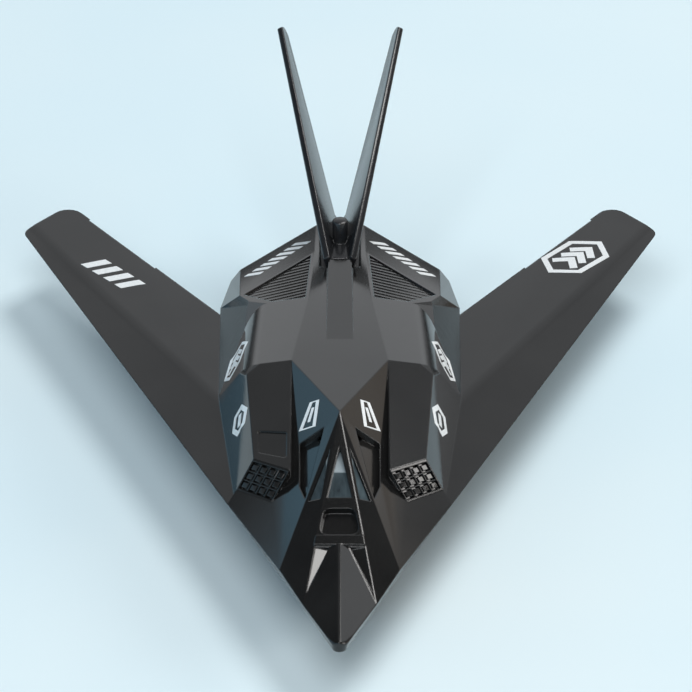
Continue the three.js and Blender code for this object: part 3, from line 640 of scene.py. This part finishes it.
def repeat_tree(name):
    """Nodes that lay copies of a bar on a grid of rows and columns, centred on the origin in XY."""
    tree = bpy.data.node_groups.new(name, "GeometryNodeTree")
    tree.interface.new_socket("Geometry", in_out="OUTPUT", socket_type="NodeSocketGeometry")
    for label, kind in (("Columns", "Int"), ("Rows", "Int"), ("Width", "Float"), ("Depth", "Float"),
                        ("Bar", "Vector"), ("Material", "Material")):
        tree.interface.new_socket(label, in_out="INPUT", socket_type="NodeSocket" + kind)
    given = tree.nodes.new("NodeGroupInput")
    result = tree.nodes.new("NodeGroupOutput")
    grid = tree.nodes.new("GeometryNodeMeshGrid")
    bar = tree.nodes.new("GeometryNodeMeshCube")
    lay = tree.nodes.new("GeometryNodeInstanceOnPoints")
    real = tree.nodes.new("GeometryNodeRealizeInstances")
    paint = tree.nodes.new("GeometryNodeSetMaterial")
    link = tree.links.new
    link(given.outputs["Columns"], grid.inputs["Vertices X"])
    link(given.outputs["Rows"], grid.inputs["Vertices Y"])
    link(given.outputs["Width"], grid.inputs["Size X"])
    link(given.outputs["Depth"], grid.inputs["Size Y"])
    link(given.outputs["Bar"], bar.inputs["Size"])
    link(grid.outputs["Mesh"], lay.inputs["Points"])
    link(bar.outputs["Mesh"], lay.inputs["Instance"])
    link(lay.outputs["Instances"], real.inputs["Geometry"])
    link(real.outputs["Geometry"], paint.inputs["Geometry"])
    link(given.outputs["Material"], paint.inputs["Material"])
    link(paint.outputs["Geometry"], result.inputs["Geometry"])
    return tree


grid_tree = repeat_tree("bars_on_a_grid")


def bars(name, columns, rows, width, depth, bar, material):
    """A mesh of equal bars on a grid; sizes in mm."""
    piece = bpy.data.objects.new(name, bpy.data.meshes.new(name))
    bpy.context.scene.collection.objects.link(piece)
    step = piece.modifiers.new("repeat", "NODES")
    step.node_group = grid_tree
    values = {"Columns": columns, "Rows": rows, "Width": width * MM, "Depth": depth * MM,
              "Bar": Vector(bar) * MM, "Material": material}
    for item in grid_tree.interface.items_tree:
        if item.in_out == "INPUT":
            step[item.identifier] = values[item.name]
    return settle(piece)


def chamfer(piece, width, segments=2):
    shape = bmesh.new()
    shape.from_mesh(piece.data)
    bmesh.ops.bevel(shape, geom=shape.edges[:], offset=width * MM, segments=segments, profile=0.5,
                    affect="EDGES")
    shape.to_mesh(piece.data)
    shape.free()


def merge_into(piece, others):
    """Adds other meshes' faces to a piece's mesh."""
    shape = bmesh.new()
    shape.from_mesh(piece.data)
    for other in others:
        shape.from_mesh(other.data)
        bpy.data.objects.remove(other)
    shape.to_mesh(piece.data)
    shape.free()
    return piece


def bend_to(piece, loop, width, depth, lift):
    """Lays a flat XY piece on a four-cornered facet: its XY box goes to the facet's four corners."""
    normal = facet_normal(loop)
    for vertex in piece.data.vertices:
        u = vertex.co.x / MM / width + 0.5
        v = vertex.co.y / MM / depth + 0.5
        spot = mix(mix(loop[0], loop[1], u), mix(loop[3], loop[2], u), v)
        vertex.co = spot + normal * (vertex.co.z + lift * MM)


GRILLE_WIDTH = 4.8
GRILLE_HEIGHT = 4.0
GRILLE_BAR = 0.2
GRILLE_THICK = 0.5
GRILLE_SUNK = 0.28


def grille(name):
    """Cross bars and the bosses between them, all sunk level with the intake's frame."""
    cell = GRILLE_WIDTH / GRILLE_COLUMNS
    row = GRILLE_HEIGHT / GRILLE_ROWS
    upright = (GRILLE_BAR, GRILLE_HEIGHT, GRILLE_THICK)
    level = (GRILLE_WIDTH, GRILLE_BAR, GRILLE_THICK)
    boss = (0.74, 0.78, GRILLE_THICK)
    posts = bars(name, GRILLE_COLUMNS - 1, 1, cell * (GRILLE_COLUMNS - 2), 0, upright, fine_enamel)
    rails = bars(name, 1, GRILLE_ROWS - 1, 0, row * (GRILLE_ROWS - 2), level, fine_enamel)
    spread = (GRILLE_WIDTH - cell, GRILLE_HEIGHT - row)
    bosses = bars(name, GRILLE_COLUMNS, GRILLE_ROWS, *spread, boss, fine_enamel)
    merge_into(posts, [rails, bosses])
    chamfer(posts, 0.08)
    bend_to(posts, grille_loop, GRILLE_WIDTH, GRILLE_HEIGHT, -GRILLE_SUNK)
    return posts


RIB_PITCH = 1.0
RIB_COUNT = 13
RIB_LENGTH = 9.0
RIB_RAKE = 1.9


def ribs(name):
    """Low ridges across the exhaust's sunk ramp, strongest beside the spine and fading outwards."""
    last = RIB_COUNT - 1
    piece = bars(name, 1, RIB_COUNT, 0, RIB_PITCH * last, (RIB_LENGTH, 0.5, 0.5), fine_enamel)
    normal = facet_normal(vent_loop)
    origin = corner["vent_in"]
    for vertex in piece.data.vertices:
        share = vertex.co.x / MM / RIB_LENGTH + 0.5
        top = vertex.co.z > 0
        along = vertex.co.y / MM
        middle = (round(along / RIB_PITCH + last / 2) - last / 2) * RIB_PITCH
        station = 80.4 + middle + (along - middle) * (0.7 if top else 1.4) - RIB_RAKE * share
        flat = at(3.4 + RIB_LENGTH * share, station, 0)
        height = origin.z - ((flat.x - origin.x) * normal.x + (flat.y - origin.y) * normal.y) / normal.z
        rise = (0.16 - 0.13 * share) if top else -0.3
        vertex.co = Vector((flat.x, flat.y, height + (rise - VENT_DEPTH) * MM))
    return combine(piece, [sunk("rib_limit", inset(vent_pan, 0.04), 1, 1)], "INTERSECT")


detail = [grille("intake_grille_left"), ribs("exhaust_ribs_left")]
for piece, name in zip(list(detail), ("intake_grille_right", "exhaust_ribs_right")):
    detail.append(flip(piece))
    detail[-1].name = name
for piece in detail:
    dress(piece, fine_enamel)
    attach(piece, "airframe")

# ---------------------------------------------------------------- canopy glazing
# One smoked clear moulding sits under the roof, and its three panes stand up in the window openings.
# It is held by the roof and the rib behind it, with no glue.


PANE_SUNK = 0.3
PANE_THICK = 0.5
CREASE_SHARE = 0.5


def smoked_clear():
    """Smoke-tinted styrene, dark and streaked below, with a painted reflection: a paler colour in the
    middle of the upper windscreen pane, where it leans back.
    """
    glass = Finish("smoked_clear", IOR=1.49, Transmission_Weight=0.25)
    flow = glass.speckle(420, 3, (2.2, 0.5, 1))
    sideways, along, _ = glass.split(glass.place())
    limits = {"Value": along, "From Min": pane_crease.y - 0.1 * MM, "From Max": pane_crease.y + 0.1 * MM}
    upper_pane = glass.node("ShaderNodeMapRange", {}, limits)
    middle = {"Value": sideways.math("ABSOLUTE", sideways, 0), "From Min": 1.7 * MM, "From Max": 1.6 * MM}
    # Painted reflection: the middle of the upper windscreen pane is coloured pale to stand in for the light
    # it mirrors.
    painted_reflection = upper_pane * glass.node("ShaderNodeMapRange", {}, middle)
    dark = glass.tint(flow, (0.010, 0.014, 0.018), (0.10, 0.14, 0.16))
    # These pale shades are the painted reflection's colour, not the glass's own tint.
    light = glass.tint(flow, (0.29, 0.36, 0.40), (0.44, 0.51, 0.55))
    shades = {"Factor": painted_reflection, "A": dark, "B": light}
    glass.feed("Base Color", glass.node("ShaderNodeMix", {"data_type": "RGBA"}, shades, "Result"))
    glass.feed("Roughness", 0.05 + flow * 0.08)
    glass.relief(flow, 0.25, 0.03 * MM, 0.1)
    return glass.material


def pane(name, loop, sink):
    """A clear plate with its own depth below the facet at each corner."""
    normal = facet_normal(loop)
    top = [p - normal * depth * MM for p, depth in zip(loop, sink)]
    return block(name, [p - normal * PANE_THICK * MM for p in top], top)


wide = inset(windscreen, -0.12)
pane_low = [mix(wide[0], wide[2], CREASE_SHARE), mix(wide[1], wide[2], CREASE_SHARE)]
pane_crease = pane_low[0]
screen = pane("glazing", [wide[0], wide[1], pane_low[1], pane_low[0]], [PANE_SUNK] * 4)
upper = pane("glazing_top", [pane_low[0], pane_low[1], wide[2]], [PANE_SUNK, PANE_SUNK, 1.1])
lights = both(pane("quarter_light", inset(quarter, -0.1), [PANE_SUNK] * 3))
frame_top = [p - facet_normal(wide) * 1.2 * MM for p in inset(wide, 0.3)]
carrier = block("carrier", [Vector((p.x, p.y, p.z - 2 * MM)) for p in frame_top], frame_top)
merge_into(screen, [upper, carrier, *lights])
dress(screen, smoked_clear())
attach(screen, "airframe")
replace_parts(screen, "canopy_glazing")

# ---------------------------------------------------------------- V tail
# Both fins, the saddle that drops in the casting's pocket and the short round post are one moulding
# in gloss black plastic. The belly screws hold it down from inside.


def gloss_plastic():
    """Gloss moulded plastic with faint sink marks and fine scratches."""
    plastic = Finish("gloss_black_plastic", IOR=1.53)
    sink = plastic.speckle(160, 3)
    scratch = plastic.speckle(900, 3, (5, 5, 0.7))
    plastic.feed("Base Color", plastic.tint(sink, (0.009, 0.010, 0.012), (0.018, 0.019, 0.021)))
    plastic.feed("Roughness", 0.13 + sink * 0.1 + scratch * 0.06)
    plastic.relief(sink * 0.7 + scratch * 0.3, 0.1, 0.02 * MM, 0.18)
    return plastic.material


gloss_black = gloss_plastic()


def fin(name):
    """One swept blade with a blunt leading edge, leaning outwards."""
    lead_root = at(1.75, 82.8, 7)
    lead_tip = at(8.1, 121.1, 20.2)
    trail_tip = lead_tip + Vector((-0.95, 0.8, -1.8)) * MM
    trail_root = at(1, 96.4, 5.5)
    bulge = Vector((0.1, 0.75, 0.25)) * MM
    tip = []
    for share in (0, 0.12, 0.35, 0.65, 0.88, 1):
        tip.append(mix(lead_tip, trail_tip, share) + bulge * math.sin(math.pi * share))
    foot_front = at(1.1, 83.7, 4.4)
    foot_rear = at(0.4, 96.4, 4.4)
    loop = [lead_root, *tip, trail_root, foot_rear, foot_front]
    half = [0.46, 0.4, 0.38, 0.34, 0.32, 0.32, 0.34, 0.42, 0.45, 0.46]
    normal = (lead_tip - lead_root).cross(trail_root - lead_root).normalized()
    inner = [p + normal * t * MM for p, t in zip(loop, half)]
    outer = [p - normal * t * MM for p, t in zip(loop, half)]
    blade = block(name, inner, outer)
    chamfer(blade, 0.2, 3)
    return blade


blades = both(fin("fin"))
saddle_loop = [at(-2.5, 83.25, 3.4), at(2.5, 83.25, 3.4), at(2.5, 97.2, 3.4), at(-2.5, 97.2, 3.4)]
saddle = block("v_tail_body", saddle_loop, [p + Vector((0, 0, 1.4)) * MM for p in saddle_loop])
chamfer(saddle, 0.12)
riser_foot = [at(-1.5, 83.85, 4.6), at(1.5, 83.85, 4.6), at(1.5, 96.2, 4.6), at(-1.5, 96.2, 4.6)]
riser_top = [at(-1.3, 84.15, 6.2), at(1.3, 84.15, 6.2), at(1, 95.7, 5.6), at(-1, 95.7, 5.6)]
riser = block("riser", riser_foot, riser_top)
chamfer(riser, 0.2)
post_profile = [(0, 5.2), (1, 5.2), (1, 8.9), (0.93, 9.03), (0.8, 9.1), (0, 9.1)]
post = turned("post", post_profile, at(0, 89, 0), UPRIGHT, 32)
merge_into(saddle, [riser, post, *blades])
shade_flat_smooth(saddle, 30)
dress(saddle, gloss_black)
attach(saddle, "airframe")
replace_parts(saddle, "v_tail")

# ---------------------------------------------------------------- markings
# Pad-printed white marks, all plain shapes: slanted bars, and outlines round chevrons or a bar. The ink
# stands a few hundredths of a millimetre proud of the enamel.
INK = 0.035


def marking_ink():
    """Pad-printed white: nearly opaque, slightly chalky, with pinholes."""
    ink = Finish("white_marking", IOR=1.45)
    grain = ink.speckle(6000, 2)
    ink.feed("Base Color", ink.tint(grain, (0.62, 0.66, 0.68), (0.80, 0.83, 0.85)))
    ink.feed("Roughness", 0.32 + grain * 0.2)
    ink.relief(grain, 0.15, 0.01 * MM)
    return ink.material


white_ink = marking_ink()


def strip(points, width, closed=False):
    """Quads that follow a flat path with a set width."""
    points = [Vector(p) for p in points]
    count = len(points)
    left = []
    right = []
    for i, here in enumerate(points):
        before = points[i - 1] if closed or i else None
        after = points[(i + 1) % count] if closed or i < count - 1 else None
        ahead = ((after or here) - (before or here)).normalized()
        if before and after:
            turn = (here - before).angle(after - here) / 2
        else:
            turn = 0
        sideways = Vector((-ahead.y, ahead.x)) * (width / 2 / math.cos(min(turn, 1.1)))
        left.append(here + sideways)
        right.append(here - sideways)
    spans = range(count if closed else count - 1)
    return [[left[i], right[i], right[(i + 1) % count], left[(i + 1) % count]] for i in spans]


def print_on(name, shapes, origin, east, normal, side=1):
    """Prints flat shapes, in mm east and north of an origin, onto the casting; side -1 mirrors them."""
    north = normal.cross(east)
    mirror = Matrix.Diagonal((side, 1, 1))
    outward = mirror @ normal
    shape = bmesh.new()
    for loop in shapes:
        shape.faces.new([shape.verts.new(mirror @ (origin + (east * x + north * y) * MM)) for x, y in loop])
    bmesh.ops.subdivide_edges(shape, edges=shape.edges[:], cuts=5, use_grid_fill=True)
    for vertex in shape.verts:
        hit = skin_tree.ray_cast(vertex.co + outward * 2 * MM, -outward)[0] or vertex.co
        vertex.co = hit + outward * INK * MM
    below = bmesh.ops.extrude_face_region(shape, geom=shape.faces[:], use_keep_orig=True)["geom"]
    for vertex in [part for part in below if isinstance(part, bmesh.types.BMVert)]:
        vertex.co -= outward * 2 * INK * MM
    bmesh.ops.recalc_face_normals(shape, faces=shape.faces)
    return as_piece(shape, name)


skin_tree = BVHTree.FromObject(casting, bpy.context.evaluated_depsgraph_get())


def long_badge(length, height):
    """A stretched hexagon outline with three chevrons in a row."""
    x = length / 2
    y = height / 2
    line = height * 0.13
    hexagon = [(-x, 0), (-x * 0.55, -y), (x * 0.55, -y), (x, 0), (x * 0.55, y), (-x * 0.55, y)]
    shapes = strip(hexagon, line, True)
    for place in (-0.36, 0, 0.36):
        nib = (place + 0.2) * x
        wing = (place - 0.14) * x
        shapes += strip([(wing, -y * 0.6), (nib, 0), (wing, y * 0.6)], height * 0.17)
    return shapes


def small_badge(length, height):
    """A hexagon outline round one solid bar."""
    x = length / 2
    y = height / 2
    hexagon = [(-x, -y * 0.5), (0, -y), (x, -y * 0.5), (x, y * 0.5), (0, y), (-x, y * 0.5)]
    bar = strip([(-x * 0.5, -y * 0.2), (x * 0.5, y * 0.2)], height * 0.22)
    return strip(hexagon, height * 0.19, True) + bar


def dashes(count, pitch, width, height, slant):
    """A row of slanted bars, centred on the origin."""
    shapes = []
    for i in range(count):
        x = (i - (count - 1) / 2) * pitch
        shapes.append([(x - width / 2 - slant, -height / 2), (x + width / 2 - slant, -height / 2),
                       (x + width / 2 + slant, height / 2), (x - width / 2 + slant, height / 2)])
    return shapes


def flat_east(ahead, normal):
    """The part of a direction that lies in a facet."""
    return (ahead - normal * ahead.dot(normal)).normalized()


bars_run = flat_east(at(-27.5, 83.5, 0) - at(-34.3, 91.5, 0), UPRIGHT)
bars_place = at(-29.6, 88.6, 1.3)
prints = [print_on("wing_bars_right", dashes(4, 2.35, 1.35, 3.3, 0.5), bars_place, bars_run, UPRIGHT)]
badge_run = flat_east(at(34.2, 97.2, 0) - at(27.4, 89.4, 0), UPRIGHT)
prints.append(print_on("wing_badge_left", long_badge(10.0, 6.0), at(30.8, 93.2, 1.3), badge_run, UPRIGHT))

shoulder_facet = [corner["shoulder_out"], corner["root_front"], corner["vent_out"]]
shoulder_up = facet_normal(shoulder_facet)
shoulder_run = flat_east(at(11.7, 66.2, 6.2) - at(13.6, 57.5, 5.0), shoulder_up)
pairs = [("shoulder_badge", long_badge(7.2, 3.7), at(13.25, 60.8, 4.75), shoulder_run, shoulder_up)]
nacelle_facet = [corner["nacelle_out"], corner["grille_foot_out"], corner["shoulder_out"]]
nacelle_up = facet_normal(nacelle_facet)
nacelle_run = flat_east(Vector((0, 1, 0)), nacelle_up)
pairs.append(("nacelle_badge", small_badge(3.5, 3.5), at(12.5, 45.6, 5.3), nacelle_run, nacelle_up))
cheek_facet = [corner["apex"], corner["shoulder_in"], corner["valley"]]
cheek_up = facet_normal(cheek_facet)
cheek_run = flat_east(at(2.9, 44.0, 9.94) - at(4.0, 39.5, 8.3), cheek_up)
cheek_loop = [(-2.1, -1.15), (-2.1, 1.0), (2.05, 0.5), (2.05, -0.55)]
cheek_shapes = strip(cheek_loop, 0.38, True) + strip([(-1.15, -0.1), (1.1, 0)], 0.42)
pairs.append(("cheek_badge", cheek_shapes, at(3.5, 41.2, 8.8), cheek_run, cheek_up))
sill_facet = [corner["vent_corner"], corner["lip_out"], corner["vent_end"]]
sill_up = facet_normal(sill_facet)
sill_run = flat_east(at(4.5, 94, 0) - at(11.8, 83.4, 0), sill_up)
pairs.append(("sill_bars", dashes(7, 1.75, 0.95, 2.1, 0.35), at(8.1, 88.8, 3.3), sill_run, sill_up))
for name, *place in pairs:
    prints.append(print_on(name + "_left", *place))
    prints.append(print_on(name + "_right", *place, -1))
for piece in prints:
    dress(piece, white_ink)
    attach(piece, "airframe")

# ---------------------------------------------------------------- belly plate
# The belly is one satin black moulding with the legs of the nose wheel and three screw bosses.
# It drops into the casting's underside and three screws pull it home.


def satin_plastic(name, dark, light, grain, depth):
    """Spark-eroded mould texture: fine grain, satin sheen, handling marks."""
    plastic = Finish(name, IOR=1.5)
    fine = plastic.speckle(grain, 2)
    worn = plastic.speckle(180, 4)
    plastic.feed("Base Color", plastic.tint(worn, dark, light))
    plastic.feed("Roughness", 0.38 + fine * 0.16 + worn * 0.1)
    plastic.relief(fine, depth, 0.03 * MM, 0.12)
    return plastic.material


satin_black = satin_plastic("satin_black_plastic", (0.014, 0.014, 0.015), (0.028, 0.028, 0.030), 4200, 0.5)
dress(nodes["base_plate"], satin_black)

# ---------------------------------------------------------------- screws
# Three zinc-plated pan-head screws, driven up from below. Turning marks run round the heads, and the
# plating is dull in patches.


def brushed_metal(name, dark, light, stretch, rough):
    """Drawn or turned metal: fine lines one way, cloudy patches."""
    metal = Finish(name, Metallic=1.0)
    lines = metal.speckle(1500, 3, stretch)
    cloud = metal.speckle(420, 3)
    metal.feed("Base Color", metal.tint(cloud, dark, light))
    metal.feed("Roughness", rough + lines * 0.15 + cloud * 0.1)
    metal.relief(lines, 0.2, 0.01 * MM, 0.08)
    return metal.material


zinc = brushed_metal("zinc_plating", (0.48, 0.48, 0.46), (0.68, 0.68, 0.67), (1, 1, 0.3), 0.28)
for name in ("screw_front", "screw_rear_left", "screw_rear_right"):
    dress(nodes[name], zinc)

# ---------------------------------------------------------------- nose wheel
# A small solid wheel in satin black plastic turns on a steel pin pressed through the two legs.
ground_steel = brushed_metal("ground_steel", (0.50, 0.51, 0.52), (0.66, 0.67, 0.68), (0.2, 3, 3), 0.2)
dress(nodes["nose_wheel_pin"], ground_steel)
nose_low, nose_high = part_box("nose_wheel")
nose_place = (nose_low + nose_high) / 2
nose_radius = (nose_high.z - nose_low.z) / 2 / MM
nose_half = (nose_high.x - nose_low.x) / 2 / MM
PIN_RADIUS = 0.68
rim_face = -nose_half + 0.05
disc_face = -nose_half + 0.35
nose_profile = [(PIN_RADIUS, -nose_half), (1.5, -nose_half), (1.6, disc_face), (2.5, disc_face)]
nose_profile += [(2.6, rim_face), (nose_radius - 0.4, rim_face)]
nose_profile += [(nose_radius - 0.1, -nose_half + 0.25), (nose_radius, -nose_half + 0.6)]
nose_profile += [(radius, -along) for radius, along in reversed(nose_profile)]
nose = turned("nose_wheel_body", nose_profile, nose_place, SIDEWAYS, 64)
shade_flat_smooth(nose, 25)
dress(nose, satin_black)
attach(nose, "nose_roller")
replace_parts(nose, "nose_wheel")

# ---------------------------------------------------------------- rear wheels
# Soft rubber tyres with cross lugs are stretched over satin plastic hubs, and the hubs are pressed on
# a ground steel axle that also carries the motor's pinion.


def tyre_rubber():
    """Soft black rubber: bloom in patches, dusty tread, fine grain."""
    rubber = Finish("soft_rubber", IOR=1.5)
    bloom = rubber.speckle(260, 4)
    grain = rubber.speckle(5200, 2)
    rubber.feed("Base Color", rubber.tint(bloom, (0.016, 0.016, 0.016), (0.036, 0.035, 0.034)))
    rubber.feed("Roughness", 0.68 + bloom * 0.2)
    rubber.relief(grain, 0.4, 0.04 * MM, 0.1)
    return rubber.material


rubber = tyre_rubber()
BEAD_RADIUS = 4.6
LUGS = 36
LUG_HEIGHT = 0.22


def tyre(name, place):
    """A rounded tyre body with two rows of cross lugs that reach the full radius."""
    half = (tyre_high.x - tyre_low.x) / 2 / MM
    tread = wheel_radius - LUG_HEIGHT
    profile = [(BEAD_RADIUS, -half + 0.25), (BEAD_RADIUS + 0.2, -half), (tread - 0.75, -half)]
    profile += [(tread - 0.3, -half + 0.12)]
    profile += [(tread - 0.06, -half + 0.4), (tread, -half + 0.8), (tread, -0.2), (tread - 0.18, -0.1)]
    profile += [(radius, -along) for radius, along in reversed(profile)]
    body = turned(name, profile, place, SIDEWAYS, 72)
    last = LUGS - 1
    lugs = bars(name + "_lugs", LUGS, 2, last, half, (0.5, half - 0.45, 0.34), rubber)
    for vertex in lugs.data.vertices:
        flat = vertex.co.copy()
        step = round(flat.x / MM + last / 2)
        offset = flat.x / MM - (step - last / 2)
        row = 0.5 if flat.y > 0 else 0
        radius = tread + flat.z / MM + 0.05
        turn = math.tau * (step + row) / LUGS + offset / tread
        vertex.co = place + Vector((flat.y, radius * math.cos(turn) * MM, radius * math.sin(turn) * MM))
    merge_into(body, [lugs])
    shade_flat_smooth(body, 30)
    dress(body, rubber)
    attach(body, "rear_wheelset")
    return body


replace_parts(tyre("tyre_left", wheel_place), "main_tyre_left")
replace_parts(tyre("tyre_right", across(wheel_place)), "main_tyre_right")
dress(nodes["main_hub_left"], satin_black)
dress(nodes["main_hub_right"], satin_black)
dress(nodes["rear_axle"], ground_steel)

# ---------------------------------------------------------------- pull-back motor
# A two-part case snaps round the gear train: a pinion on the axle, an idler on a pin, and a spring
# gear whose drum holds the wound steel strip on its arbor.
motor_grey = satin_plastic("motor_plastic", (0.036, 0.036, 0.040), (0.062, 0.062, 0.068), 3600, 0.4)
nylon = satin_plastic("white_nylon", (0.66, 0.64, 0.56), (0.78, 0.76, 0.69), 2600, 0.2)
tempered = brushed_metal("spring_steel", (0.24, 0.27, 0.32), (0.42, 0.44, 0.46), (3, 0.4, 3), 0.25)
for name in ("motor_case_left", "motor_case_right"):
    dress(nodes[name], motor_grey)
for name in ("axle_pinion", "idler_gear", "spring_gear"):
    dress(nodes[name], nylon)
for name in ("idler_pin", "spring_arbor"):
    dress(nodes[name], ground_steel)
dress(nodes["mainspring"], tempered)

# ---------------------------------------------------------------- the shelf it stands on
# A plain pale blue floor, large soft panels behind and above, and a low camera looking down the nose.


def floor_paper():
    """Matte pale blue paper with faint cloudiness."""
    paper = Finish("floor_paper", IOR=1.4)
    cloud = paper.speckle(9, 3)
    fibre = paper.speckle(900, 2)
    paper.feed("Base Color", paper.tint(cloud, (0.60, 0.76, 0.84), (0.70, 0.81, 0.85)))
    paper.feed("Roughness", 0.8 + fibre * 0.15)
    paper.relief(fibre, 0.05, 0.05 * MM)
    return paper.material


FLOOR_HALF = 1.6
floor_plan = ((-1, -1), (1, -1), (1, 1), (-1, 1))
floor = joined_mesh("floor", [[Vector((x, y, 0)) * FLOOR_HALF for x, y in floor_plan]])
dress(floor, floor_paper())


def panel_light(name, place, size, power, colour):
    """A soft rectangular lamp that points at the toy."""
    lamp = bpy.data.lights.new(name, "AREA")
    lamp.shape = "RECTANGLE"
    lamp.size, lamp.size_y = size
    lamp.energy = power
    lamp.color = colour
    holder = bpy.data.objects.new(name, lamp)
    holder.location = place
    holder.rotation_euler = (-Vector(place)).to_track_quat("-Z", "Y").to_euler()
    bpy.context.scene.collection.objects.link(holder)


panel_light("key_panel", (0.45, 0.53, 1.33), (0.55, 0.55), 10, (1.0, 0.99, 0.97))
panel_light("front_panel", (-0.15, -1.0, 1.25), (1.1, 0.8), 15, (0.98, 0.99, 1.0))
panel_light("side_panel", (0.87, -0.25, 0.42), (0.36, 0.3), 2.6, (1.0, 0.98, 0.95))

world = bpy.data.worlds.new("room")
world.use_nodes = True
sky = Maker(world.node_tree)
heading, aft, upward = sky.split(sky.node("ShaderNodeTexCoord", {}, {}, "Generated"))
WALL_LEFT = -0.72
WALL_RIGHT = 1.0
WALL_GLOW = 1.05
DIM_ROOM = 0.06


def ramp(value, start, stop):
    """Runs smoothly from 0 to 1 as a value goes from start to stop."""
    limits = {"Value": value, "From Min": start, "From Max": stop}
    return sky.node("ShaderNodeMapRange", {"interpolation_type": "SMOOTHSTEP"}, limits)


bearing = heading.math("DIVIDE", heading, aft.math("MAXIMUM", aft, 0.05))
above = ramp(upward, 0.03, 0.16) * ramp(upward, 0.95, 0.75)
wall = ramp(bearing, WALL_LEFT, -0.5) * ramp(bearing, WALL_RIGHT, 0.8) * above
blue_side = ramp(bearing, -0.5, WALL_LEFT) * ramp(upward, 0.6, 0.3)
warm_side = ramp(bearing, 0.8, WALL_RIGHT) * ramp(upward, 0.6, 0.3)
cool = sky.node("ShaderNodeMix", {"data_type": "RGBA"},
                {"Factor": blue_side, "A": (0.94, 0.97, 1.0, 1), "B": (0.42, 0.76, 1.0, 1)}, "Result")
hue = sky.node("ShaderNodeMix", {"data_type": "RGBA"},
               {"Factor": warm_side, "A": cool, "B": (1.0, 0.88, 0.76, 1)}, "Result")
background = world.node_tree.nodes["Background"]
world.node_tree.links.new(hue.socket, background.inputs["Color"])
window = ramp(bearing, 0.3, 0.65) * ramp(upward, 0.5, 0.6) * 0.7
glow = DIM_ROOM + wall * (WALL_GLOW - upward + window) + blue_side * 0.95 + warm_side * 0.6
world.node_tree.links.new(glow.socket, background.inputs["Strength"])
bpy.context.scene.world = world
bpy.context.scene.view_settings.view_transform = "Standard"

lens = bpy.data.cameras.new("camera")
lens.lens = 324.46
lens.sensor_width = 36
lens.clip_end = 20
camera = bpy.data.objects.new("camera", lens)
camera.location = (0.00077, -0.6760, 0.4205)
view_aim = Vector((0.00077, 0.010035, 0.009))
camera.rotation_euler = (view_aim - camera.location).to_track_quat("-Z", "Y").to_euler()
bpy.context.scene.collection.objects.link(camera)
bpy.context.scene.camera = camera
